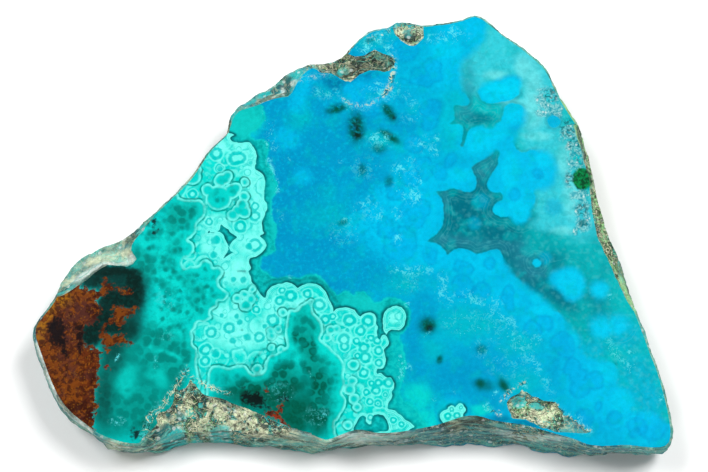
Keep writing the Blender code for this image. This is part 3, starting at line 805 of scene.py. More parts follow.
    inner_dots: tuple = (
        (91.8, 50.9, 0.5), (71.6, 35.6, 0.6), (77.6, 33.6, 0.5), (108, 3.9, 0.6), (87.8, 59.4, 1),
    )
    band_edge: tuple = (
        (34, 66), (37, 64.6), (40.8, 64.6), (41.5, 63), (41.8, 62), (41.2, 61), (40.6, 60.3), (40.2, 59.6),
        (39.2, 59.2), (38.8, 58.5), (39.6, 57.9), (41, 57.9), (42.1, 57.5), (42.4, 56.6), (42.2, 55.2),
        (42, 54), (42.3, 53.2), (43, 52.4), (43.3, 51.4), (43.5, 50.4), (43.9, 49.4), (44.1, 48.4),
        (43.9, 47.6), (43.3, 46.8), (43, 45.8), (43.1, 44.6), (43, 43.2), (43.4, 42.2), (43.9, 41.4),
        (44.1, 40.4), (43.9, 39.4), (43.7, 38.4), (43.9, 37.3), (43.4, 36.3), (42.4, 35.7), (41.4, 35.3),
        (41.1, 34.3), (41.2, 33.3), (42.4, 32.6), (43.3, 31.8), (44.4, 31.6), (45.8, 31.9), (47.2, 31.7),
        (48.3, 31.6), (49.6, 32.2), (50.8, 32.3), (52, 31.8), (53, 30.7), (53.7, 29.6), (54.3, 29.2),
        (55.1, 28.4), (56, 29.1), (57.1, 29.2), (58, 28.4), (58.8, 29.1), (59.9, 29), (60.8, 28.2),
        (61.4, 27.2), (62.4, 27), (63.2, 27.7), (64.6, 28), (66, 27.7), (67.3, 27), (68, 25.8), (68.2, 24.2),
        (67.8, 22.8), (67, 21.6), (66.2, 20.6), (66.7, 19.2), (67.1, 17.4), (67.4, 15.4), (67, 13.4),
        (66.4, 12), (66.2, 10.4), (66.8, 9.2), (68.2, 8.4), (70, 6.4), (71, 3), (66, -3), (20, -3), (10, 40),
    )
    fresh_band: tuple = (
        (38, 61.2, 3.4, 3.2), (42.4, 34, 1.6, 1.4), (58.4, 27.4, 3, 1.2), (43.6, 45, 1, 6),
        (36.4, 59.6, 2, 1), (61.4, 26.2, 2, 1.2),
    )
    sea_band: tuple = ((66.2, 13, 2, 6), (66.2, 19.4, 1.6, 2.4), (69, 7.4, 2.4, 2.4))
    second_line: tuple = (
        (41.8, 30.4), (43, 31.2), (44.4, 31.3), (45.6, 31.5), (47, 31.3), (48.2, 31), (49.4, 31.4),
        (50.8, 31.4), (52, 30.9), (53.2, 29.9), (54.2, 28.2), (55, 27.2),
    )
    flecked_edge: tuple = ((42.2, 53.3), (43, 52.2), (43.5, 50.6), (43.9, 49.4), (44.1, 48.2), (43.9, 47.6))
    sugar_lines: tuple = (
        (0.75, ((59, 44.8), (59.8, 45.6), (60.8, 46), (61.6, 45.2), (62.2, 44), (62.8, 43))),
        (0.8, ((65, 33.3), (67, 33), (68.6, 32.6), (70.2, 33.1), (71.6, 33.2), (73.2, 32.6), (74.1, 31.6))),
        (0.8, ((74.1, 31.6), (74.5, 30.4), (73.7, 29.2), (73.8, 28), (75, 27.2), (76.6, 28), (78.6, 28.3))),
        (0.9, ((78.6, 28.3), (79.8, 27.2), (81.4, 27), (83, 27.5), (84, 26.6))),
        (0.75, ((82.4, 25.4), (83.6, 24.4), (85.4, 24), (86.8, 23))),
        (0.75, ((85.9, 21.8), (86.6, 20), (87.4, 18.6), (88.8, 17.4), (90.2, 16), (91.2, 14.4))),
        (0.45, ((91.2, 14.4), (92.2, 12.8), (93, 10.8))), (0.7, ((88.4, 19), (89.8, 19.6), (90.8, 20.2))),
        (0.5, ((57, 64.8), (58.2, 64.3), (59.4, 64.1), (60.6, 64.3))),
        (0.6, ((61, 65), (62.6, 64.8), (64.2, 65.7), (65.6, 66.8), (65.9, 68.4))),
        (0.5, ((67.4, 62), (68.6, 61.8), (69.6, 62.8), (69.4, 64), (68.4, 65.6), (67.8, 66.4))),
        (0.5, ((41.8, 63), (42.6, 62.2), (42.5, 60.6), (42.3, 59.2), (42.8, 58), (42.4, 57))),
        (0.5, ((43.6, 43.6), (44.4, 43))), (0.7, ((103.4, 19.6), (104.4, 18), (106.2, 16.2), (107.6, 14.8))),
        (0.6, ((51, 67.2), (52, 66.5), (53.4, 66.4), (54.8, 66.9))),
    )
    sugar_spots: tuple = (
        (68.7, 46.8, 1.9, 1.7), (72.6, 55.4, 1.3, 0.9), (73.2, 58, 0.5, 1.3), (70.4, 56.8, 0.9, 0.7),
        (68.4, 54, 0.8, 0.6), (66.2, 52.3, 1.5, 0.8), (69.8, 49.8, 0.8, 0.8), (65.9, 43.7, 1, 1.2),
        (66, 38.8, 0.7, 1.2), (65.9, 51, 0.6, 1.4), (62.6, 58.2, 1.9, 1.3), (43.4, 56.2, 0.8, 0.6),
        (42.4, 54, 0.6, 0.6), (45.6, 53.8, 0.8, 0.6), (42.2, 57.2, 0.9, 0.6), (56.8, 42.7, 0.9, 0.5),
        (67.2, 15, 1.1, 0.8), (66.4, 13.4, 0.7, 1.2), (66.4, 16.2, 0.7, 1.2), (81.6, 8, 0.8, 0.8),
        (98.6, 3.8, 1.8, 1), (88.4, 11.4, 0.5, 0.9), (75.4, 10.6, 0.6, 0.6), (72.2, 9.4, 0.5, 0.5),
        (46.6, 31.7, 0.5, 0.4), (67.6, 26.6, 0.6, 0.5), (76.8, 78.6, 1.6, 1.6), (62.6, 77.6, 1.2, 1.2),
        (73.4, 77.6, 2.4, 1), (60.4, 75.6, 2, 1.2), (64.6, 75.4, 1.2, 1), (95.6, 5.6, 3, 1.4),
        (112.9, 9.6, 0.8, 0.8), (107.6, 17.9, 0.7, 0.6), (104.2, 28, 0.6, 0.6), (36, 31.9, 0.3, 0.3),
        (52.6, 6, 1, 0.9), (16, 5.4, 1.6, 0.7), (62.2, 67.6, 1.6, 1.6), (55.6, 53.6, 0.4, 0.4),
    )
    grit: tuple = (
        (56, 40, 3, 2.6), (78.6, 23.4, 5.6, 2.4), (62.6, 57.6, 3, 2.2), (68, 30.4, 3, 1.8),
        (60.6, 44.2, 3, 2.2), (87.4, 19.6, 3.6, 3), (60, 52.4, 3, 2.6), (84, 22, 3, 3),
        (85.6, 15.4, 4.6, 2.6), (76.8, 78.4, 3.4, 2), (63.8, 77.2, 3.2, 1.8), (80.6, 18.4, 2, 1.8),
        (71, 57, 3, 2), (67.6, 50.4, 3, 4), (23, 8, 1, 1.6), (24, 27.4, 2, 2.4), (44.6, 10.6, 3, 2),
        (51.4, 6.4, 2.6, 2), (24.4, 20.8, 1.6, 1), (61.6, 67.4, 2.6, 2.4),
    )
    scratches: tuple = (
        ((70.6, 20.8), (71.5, 21.5)), ((82.4, 9.6), (83.4, 10.8)), ((15.9, 17.4), (15.3, 16.4)),
        ((49.8, 14.2), (50.6, 13.4), (51, 12.8)), ((22.6, 15.2), (22.6, 17)),
    )

    def wash(self, points: PlanPoints) -> np.ndarray:
        """The azure with its mottling and its inclusions.

        Args:
            points: the mesh's points in the plan.

        Returns:
            One colour a point.
        """
        wash = Wash.of(points, Tint.AZURE)
        mottle = rough(points.places, 5.0)
        wash.lay(Tint.DEEP_AZURE, 0.75 * fade(points.places[:, 0] + 9.0 * mottle, 76.0, 44.0))
        wash.dab(Tint.SEA_GREEN, self.greener, 0.6, 0.7)
        wash.dab(Tint.DEEP_AZURE, self.deeper, 0.6, 0.6)
        wash.dab(Tint.BRIGHT_AZURE, self.brighter, 0.62, 0.6)
        wash.dab(Tint.INK_BLUE, self.ink, 0.8, 0.6)
        wash.dab(Tint.BRIGHT_TEAL, self.haze, 0.8, 0.5)
        lobed = points.wavered(5.0, 0.9)
        wash.dab(Tint.CYAN, self.bright_lobes, 0.42, 0.35)
        for lobe in self.lobes:
            depth = lobed.depth_in_discs(lobe)
            wash.lay(Tint.CYAN, 0.14 * fade(np.abs(depth + 0.7), 0.6, 0.0))
            wash.lay(Tint.LOBE_BLUE, 0.42 * fade(depth, -0.25, 0.15))
            wash.lay(Tint.DEEP_AZURE, 0.4 * fade(np.abs(depth), 0.4, 0.0))
        wash.dab(Tint.DEEP_AZURE, self.inner_dots, 0.35, 0.6)
        wash.lay(Tint.SEA_GREEN, 0.35 * fade(rough(points.places + 31.0, 2.4), 0.1, 0.6))
        wash.lay(Tint.DEEP_AZURE, 0.2 * fade(rough(points.places + 77.0, 1.2), 0.1, 0.6))
        wash.dab(Tint.BOTTLE, self.faint_inclusions, 0.66, 0.7)
        wash.dab(Tint.BOTTLE, self.inclusions, 0.9, 0.6)
        wash.dab(Tint.BLACK, self.hearts, 0.75, 0.6)
        return wash.colours

    def mottled(self, points: PlanPoints) -> np.ndarray:
        """How finely mottled the azure is, from 0 to 1: most on the left, least on the right."""
        return fade(points.places[:, 0] + 6.0 * rough(points.places, 5.0), 84.0, 56.0) * 0.85 + 0.15

    def band_wash(self, points: PlanPoints) -> np.ndarray:
        """The green band's own colour."""
        wash = Wash.of(points, Tint.BAND)
        wash.dab(Tint.PALE_BAND, self.fresh_band, 0.8, 0.5)
        wash.dab(Tint.SEA_GREEN, self.sea_band, 0.7, 0.5)
        return wash.colours

    def sugar(self, points: PlanPoints) -> np.ndarray:
        """How thickly each point is strewn with white specks, from 0 to 1."""
        spots = 0.95 * points.covered(self.sugar_spots, 1.25, 0.6)
        grit = 0.24 * points.covered(self.grit, 1.2, 0.5)
        lines = [weight * points.along(line, 1.3) for weight, line in self.sugar_lines]
        scratches = [1.2 * points.along(line, 0.4) for line in self.scratches]
        return np.max([spots, grit, points.along(self.flecked_edge, 0.6), *lines, *scratches], axis=0)


@dataclass
class Veil:
    """The clouded part on the right: a grey-green sea and a milky shoulder, with azure lobes against them."""

    shore: tuple = (
        (84, 84), (82.8, 79.6), (82.6, 78), (82, 76.8), (81, 75.5), (80, 74.6), (79, 73.6), (78.2, 72.8),
        (77.8, 71.6), (78, 70.2), (77.8, 68.8), (78.2, 67.4), (78.9, 66.4), (79.3, 65.6), (78.9, 64.6),
        (78, 64.3), (77, 64.6), (76.4, 63.9), (76.6, 62.8), (76.5, 61.6), (75.6, 61), (76.4, 60.7),
        (77.5, 60.7), (78.2, 59.8), (78, 58.2), (77.6, 56.6), (78.1, 56.5), (78.7, 58.2), (79.2, 59.6),
        (80.2, 60.2), (81.4, 60.4), (82.6, 60), (83.6, 59.9), (84.4, 60.8), (85.2, 61.6), (85.6, 62.6),
        (85.6, 63.6), (86.3, 64.5), (87.4, 64.9), (88.6, 64.6), (89.5, 63.8), (89.9, 62.6), (89.5, 61),
        (88.9, 60), (88.3, 59), (87.7, 58), (87.5, 57), (87.9, 56), (88.7, 55.4), (89.6, 55.4), (90.6, 55.9),
        (91.6, 55.7), (93, 55.8), (94.2, 54.9), (95, 53.4), (95.2, 51.7), (95, 50), (94.2, 48.8), (93, 48.1),
        (91.6, 48.2), (90.9, 47.6), (91.2, 46.6), (91, 45.5), (90.4, 44.4), (90.1, 43.3), (89.5, 42.3),
        (88.7, 41.7), (87.9, 41.6), (87.1, 42), (86.6, 42.6), (86.1, 43.1), (85.4, 43), (84.4, 43.1),
        (83.6, 43.6), (83.3, 44.4), (83.6, 45.3), (84.2, 45.8), (84.9, 46.2), (85.3, 46.9), (84.8, 47.5),
        (83.8, 47.6), (83, 47.9), (82.5, 48.4), (82.4, 49.2), (82.7, 50.3), (83.4, 51.3), (84.3, 52.7),
        (84.6, 54.2), (84.8, 55.6), (84, 55.8), (83.3, 55), (82.3, 54.2), (81.3, 53.7), (80.3, 53.1),
        (79.7, 52.4), (79.8, 51.6), (80.2, 50.8), (80.5, 49.8), (80.3, 48.8), (79.8, 47.9), (79, 47.6),
        (78, 47.8), (77, 48.2), (76, 48.4), (75, 48.1), (74, 47.9), (73, 47.9), (73.4, 47.2), (74, 46.5),
        (74.2, 45.5), (74.3, 44.5), (74.4, 43.5), (74.3, 42.3), (74, 41.2), (73.4, 40.3), (72.8, 39.6),
        (71.9, 39), (71.3, 38.4), (72, 38.2), (73, 38), (74, 37.3), (74.6, 36.5), (74.9, 35.9), (75.4, 36.3),
        (76, 36.8), (77, 37.1), (78.2, 37), (79, 36.7), (79.6, 36.2), (80.3, 36), (81, 36.2), (82, 36.5),
        (83, 36.8), (84, 37), (84.6, 36.7), (84.9, 35.8), (85.1, 35), (85.4, 34.3), (85.9, 33.9),
        (86.3, 33.1), (87, 32), (88, 31), (88.9, 30.4), (90, 29.3), (91, 28.8), (92, 27.9), (93, 26.9),
        (93.8, 25.9), (94.7, 25.2), (95.6, 24.3), (96.2, 23.3), (96.8, 22.5), (97.6, 21.7), (98.5, 20.7),
        (98.8, 19.2), (99.2, 17.8), (100.2, 16.9), (101.6, 16.6), (103.4, 16.4), (104.6, 15.6),
        (105.2, 14.2), (105, 12.7), (105.8, 11.5), (107.2, 10.8), (108, 9.6), (107.8, 8.2), (107.2, 7.4),
        (108.6, 7.2), (110.2, 7.4), (111.8, 6.8), (113, 5.6), (114.4, 5), (118, 8), (113, 26), (108, 44),
        (103, 64), (96, 78),
    )
    islands: tuple = (
        ((81.3, 66), (81, 67.5), (82, 68.5), (83.3, 69), (85.5, 69.8), (87.4, 70.4), (89, 69.6),
         (88.9, 67.8), (88.2, 66.2), (87, 65.4), (85, 65), (83.5, 64.8), (82.2, 65.1)),
        ((93.3, 31.6), (94, 32.8), (95.5, 33.2), (97, 33.6), (98.5, 33.1), (99.5, 31.8), (99.8, 30.3),
         (99.4, 28.8), (98.8, 27.7), (97.5, 27.2), (96.3, 27.6), (95.6, 28.5), (94.7, 29.4), (93.6, 30.3)),
    )
    round_islands: tuple = (
        (91.1, 34.3, 0.8), (102.4, 29.4, 1.7), (78.5, 65.3, 1), (94.9, 61.3, 1.2), (102.4, 22.4, 2.1),
        (105.5, 22.9, 1.8),
    )
    soft_shores: tuple = (
        (1.1, (79.4, 73, 3, 6)), (0.8, (84, 79, 4, 3)), (0.7, (85, 69.6, 5.6, 3)), (0.9, (89.6, 60, 3, 4)),
        (1, (94, 51, 3.4, 6)), (0.6, (89, 43.4, 3, 3)), (0.8, (97, 30.6, 5, 4.4)), (1, (102.4, 29.6, 3, 3)),
        (1.6, (105, 25, 9, 3)), (1.2, (99, 21.6, 4, 3.6)), (0.5, (82.6, 58, 3, 4)), (0.9, (91, 28.4, 5, 4)),
        (0.6, (86.6, 33.4, 2.4, 2.4)), (0.8, (101, 17.4, 3.6, 3)), (0.9, (106.6, 12, 3, 4)),
        (0.9, (110.6, 7, 4, 3)), (0.7, (104, 22.6, 4.4, 3)),
    )
    frosted: tuple = (
        (93.8, 65.8, 2.2, 2.4), (92.8, 63, 1.2, 0.9), (95.4, 63.4, 1.4, 1.6), (97.9, 58, 1.9, 2.6),
        (98.9, 54.2, 1.8, 2.2), (97.6, 50.2, 1, 2), (99.2, 47, 1.8, 1.4), (99.8, 44.4, 1.7, 1.8),
        (99.8, 41.8, 1.4, 1.6), (98.5, 40.3, 0.9, 0.7),
    )
    speckled: tuple = (
        (94.4, 66.4, 1.5, 1.3), (97.4, 60, 1.4, 1.8), (98.6, 56.9, 1.4, 1.4), (99.8, 54.6, 0.9, 1.6),
        (99.6, 44.4, 1.2, 1.2), (97.4, 50.4, 0.7, 1.2), (99.8, 41.6, 0.8, 1),
    )
    malachite: tuple = (99.9, 50.2, 1.85, 2.1)
    dim_islands: tuple = ((81.2, 46, 1.5), (79.9, 41.8, 1.2), (92.6, 35.2, 1.2), (94.4, 44.8, 1.6))
    sea: tuple = (
        (79, 43, 9, 9), (84, 38, 12, 7), (92, 34, 9, 8), (82, 52, 3, 6), (99, 26, 5, 6), (98, 37, 9, 6),
    )
    dark_sea: tuple = (
        (85.2, 39.2, 3.4, 2.2), (76.6, 43.4, 2.6, 5), (84.4, 39.8, 3, 1.6), (89.6, 31.4, 4.4, 1.6, -42),
        (79.6, 44.6, 3.6, 3.6), (86.6, 36.8, 2, 2.6), (76.4, 38, 2.6, 1.2), (95, 28.6, 4.4, 1.6, -50),
        (81.2, 49.6, 1, 3), (78.1, 58, 0.6, 2.2, -10), (80.6, 61.8, 3.4, 1.2),
    )
    grey: tuple = (
        (82, 37.6, 6, 1, -2), (89, 35, 2, 3.4, 20), (91.6, 32.6, 3.6, 1), (82, 52.2, 2.2, 2.4, 40),
        (74.6, 46, 0.8, 2.6), (78.4, 63, 1.6, 1.4), (79.2, 68.6, 1.2, 4.4), (77, 38.6, 3.4, 0.7),
        (74.4, 38.8, 2, 0.9, 10),
    )
    green_sea: tuple = (
        (90.4, 38.4, 4, 2.6), (96.6, 38.6, 3.4, 2.4), (94.6, 44.6, 2.4, 2.2), (82.6, 63, 3.4, 1.8),
        (109.6, 18, 3, 5), (86, 40.6, 2, 1.8), (99.6, 34.4, 3.6, 4.4), (102, 37, 2.4, 4), (98, 24.6, 3, 4),
    )
    azure_haze: tuple = (
        (108.6, 12.6, 3.4, 5), (101, 18.4, 2.4, 1.8), (106.6, 21, 3, 2.4), (111, 9, 2.4, 2.4),
    )
    milk: tuple = (
        (86, 76, 6, 5), (80.6, 71, 3.4, 4.4), (91, 68, 5, 9), (93, 58, 4, 5), (95.6, 48, 3.6, 6),
        (99, 42.6, 3.6, 4), (92.4, 45.4, 1.4, 3), (94, 41.6, 3.6, 1.4),
    )
    pale_milk: tuple = (
        (91.4, 67.6, 1.6, 5.6), (84.4, 70.3, 2.2, 0.9), (91, 63, 2, 3), (91.8, 58.4, 2.4, 0.8),
        (96.6, 54, 1.2, 3), (89.4, 72, 1.4, 2.4), (97.6, 46.6, 1.4, 3.6), (87, 65.2, 2.4, 0.5),
        (96, 40.4, 2, 0.8),
    )

    def softness(self, points: PlanPoints) -> np.ndarray:
        """How wide the shore's edge is at each point."""
        wide = np.full(len(points.places), 0.16)
        for width, oval in self.soft_shores:
            wide = np.maximum(wide, width * fade(points.share_of(*oval), 1.3, 0.7))
        return wide

    def depth(self, points: PlanPoints) -> np.ndarray:
        """How deep each point lies in the azure, negative in the veil."""
        islands = np.maximum(points.depth_in_any(self.islands), points.depth_in_discs(self.round_islands))
        return np.maximum(islands, -points.depth_in(self.shore))

    def wash(self, points: PlanPoints) -> np.ndarray:
        """The veil's own colour.

        Args:
            points: the mesh's points in the plan.

        Returns:
            One colour a point.
        """
        wash = Wash.of(points, Tint.SEA_GREEN)
        wash.dab(Tint.SEA, self.sea, 0.8, 0.5)
        wash.dab(Tint.SEA_GREEN, self.green_sea, 0.6, 0.6)
        wash.dab(Tint.DARK_SEA, self.dark_sea, 0.75, 0.6)
        wash.dab(Tint.MILK, self.milk, 0.9, 0.5)
        wash.dab(Tint.GREY_SEA, self.grey, 0.55, 0.7)
        wash.dab(Tint.PALE_MILK, self.pale_milk, 0.8, 0.6)
        wash.dab(Tint.AZURE, self.dim_islands, 0.55, 0.4)
        wash.dab(Tint.AZURE, self.azure_haze, 0.6, 0.6)
        wash.lay(Tint.SEA_GREEN, 0.4 * fade(rough(points.places + 19.0, 3.0), 0.0, 0.6))
        wash.lay(Tint.PALE_MILK, 0.14 * fade(rough(points.places + 91.0, 0.9), 0.0, 0.6))
        return wash.colours


@dataclass
class RustTip:
    """The iron-stained tip on the left: rust over blackish teal, with black patches."""

    patches: tuple = (
        ((8.3, 30.3), (9.5, 29.8), (10.5, 29.4), (11.8, 29.2), (12.5, 30.5), (12.7, 31.5), (13.3, 31.3),
         (13.2, 30.3), (14.2, 30.3), (14.8, 29.9), (14.5, 29.3), (13.8, 29), (13.3, 28.4), (12.2, 27.8),
         (11.8, 27), (12.2, 26.3), (12.3, 25.2), (11.9, 24.2), (11.8, 23.4), (11, 22.9), (10.2, 22.8),
         (9.4, 21.6), (9.5, 20), (10, 19), (10.8, 18.9), (11.8, 18.7), (12.6, 18.2), (12.6, 17),
         (12.5, 16.2), (12.8, 15.5), (12.7, 14.8), (12.4, 13.7), (12.5, 12.6), (12.3, 11.5), (12.1, 10.6),
         (12.1, 9.5), (12.2, 8.2), (12.1, 7.2), (11.9, 6.2), (11.8, 5.3), (11.6, 4.5), (11.9, 3), (9, 2),
         (-3, 8), (-3, 28), (5, 33)),
        ((14.6, 26.2), (15.5, 26.4), (16.8, 26.2), (17.6, 25.7), (18.6, 26.2), (18.8, 25.5), (18.3, 24.9),
         (17.3, 24.6), (17.2, 23.9), (16.6, 23.3), (16, 22.6), (15.3, 22.9), (14.6, 23.1), (13.8, 22.9),
         (13.2, 22.2), (13.2, 21.4), (13.8, 21.3), (14.8, 21), (15.8, 21.3), (16.6, 21.2), (17.1, 20.2),
         (18, 19.6), (17.7, 19.2), (16.5, 19.3), (15.3, 19.2), (14.5, 18.9), (14.2, 18.2), (13.5, 17.9),
         (13, 18.4), (13, 19.3), (12.7, 20.3), (12.6, 21.4), (12.5, 22.5), (13.6, 23.4), (14.4, 24.4)),
        ((15, 30), (16.5, 29.5), (17.8, 29.3), (17.6, 28.4), (16.3, 28.6), (15, 29.3)),
        ((42.2, 6.5), (43.2, 7.4), (44.3, 7.3), (45.3, 8.8), (45.8, 8.8), (45.2, 7.6), (45, 6.6),
         (45.5, 5.5), (46, 4.6), (46.4, 3.6), (45.4, 4), (44.5, 5.4), (43.5, 5.9)),
        ((13.5, 15.1), (13.9, 15.5), (14.3, 15.1), (13.9, 14.7)),
        ((41.8, 11), (42.2, 11.4), (42.7, 11.1), (42.3, 10.7)),
    )
    black: tuple = (
        ((2.9, 22), (3.6, 23.6), (4.8, 24.5), (5.6, 23.2), (6.3, 22.2), (5.8, 21), (6.5, 20.3), (6.4, 18.8),
         (6.9, 17.2), (6.1, 17.4), (5.3, 18.8), (4.2, 19.2), (3.2, 19.8), (3.5, 20.9)),
        ((8, 22.8), (9, 22.9), (9.5, 21), (9.3, 19.2), (9.2, 17.8), (8.5, 17.8), (8.3, 20)),
        ((37.9, 8.9), (38, 11.3), (38.7, 11), (39.6, 10.6), (40.6, 10.8), (41.3, 10.2), (42, 9.3),
         (42.1, 8.4), (43.3, 7.3), (41.6, 7.9), (40.5, 8), (39.3, 8.5), (38.5, 8.8)),
        ((44.5, 9.1), (44.9, 9.7), (45.4, 9.9), (46.1, 9.5), (46, 9), (45.3, 9)),
        ((18.6, 3.4), (18.8, 4.2), (19.4, 4), (20.2, 3.4), (19.8, 2.7), (19.5, 1.9), (19.1, 2)),
        ((21.1, 42.3), (21.7, 42.8), (22.1, 41.9), (21.6, 41.2), (21.2, 41.6)),
        ((21.6, 40.2), (22, 40.6), (22.4, 40.1), (22, 39.7)),
    )
    gold: tuple = ((1.6, 22.6, 1.1, 2.6), (2.6, 25.2, 1.4, 1.4), (4.4, 27.6, 2.4, 1.4))
    orange: tuple = (
        (4.5, 26.4, 2.6, 2.2), (5.6, 14.6, 2.8, 5), (9, 28.6, 3.2, 1.2), (11.4, 29, 2, 1),
        (16, 25, 2.8, 1.2), (15.4, 20.2, 2.6, 1.2), (7.6, 10.4, 1.8, 2.6), (3.4, 18.4, 1.2, 1.4),
    )
    maroon: tuple = ((10.2, 6.8, 2.2, 2.4), (7, 7.6, 1.6, 1.2), (11.4, 12.6, 0.6, 1.6), (11.6, 26, 0.8, 3))
    plum: tuple = ((9, 25.2, 3.2, 2.4), (6.2, 21.6, 2.8, 2.8), (7.6, 14.2, 1.4, 1.2), (6.4, 17.4, 1.2, 0.9))
    red: tuple = ((44.4, 6.2, 2, 2.6), (42.2, 11, 0.6, 0.5), (13.9, 15.1, 0.6, 0.6))
    dim: tuple = ((16.4, 29.2, 1.6, 0.6),)
    night: tuple = (
        (15.6, 30.4, 4.4, 3.6, -20), (18.4, 28.4, 1.8, 3.2), (10.6, 31.2, 2.2, 1.8, 20),
        (13.4, 25.6, 2, 3.6), (11.2, 21, 1.8, 2.2), (14.4, 22.6, 2.4, 1.4), (12.4, 23.6, 1.8, 2.8),
        (15.6, 27.4, 3, 1.6), (18.2, 31.8, 1.6, 1.6), (10.2, 21.4, 1.8, 2.6), (16.4, 27.4, 2.6, 1),
        (14, 33, 4.6, 1),
    )
    dusk: tuple = (
        (18.6, 24.4, 1.8, 3), (14.8, 16.6, 2, 2.6), (13.5, 9.6, 1.5, 5.2), (19.8, 29.4, 1.6, 3.4),
        (17.6, 21.4, 2, 1.6), (16.6, 23.4, 2.6, 3), (15, 19.6, 2, 2),
    )

    def wash(self, points: PlanPoints) -> np.ndarray:
        """The rust's own colour.

        Args:
            points: the mesh's points in the plan.

        Returns:
            One colour a point.
        """
        wash = Wash.of(points, Tint.BRICK)
        wash.dab(Tint.ORANGE, self.orange, 0.85, 0.6)
        wash.dab(Tint.PLUM, self.plum, 0.8, 0.5)
        wash.dab(Tint.GOLD, self.gold, 0.85, 0.6)
        wash.dab(Tint.MAROON, self.maroon, 0.85, 0.6)
        wash.dab(Tint.RED_RUST, self.red, 1.0, 0.3)
        wash.dab(Tint.MAROON, self.dim, 0.5, 0.6)
        return wash.colours

    def darken(self, colours: np.ndarray, points: PlanPoints) -> np.ndarray:
        """The teal's colours with the tip's blackish ground laid over them."""
        wash = Wash(points, colours)
        wash.dab(Tint.NIGHT, self.dusk, 0.66, 0.7)
        wash.dab(Tint.NIGHT, self.night, 0.96, 0.35)
        return wash.colours


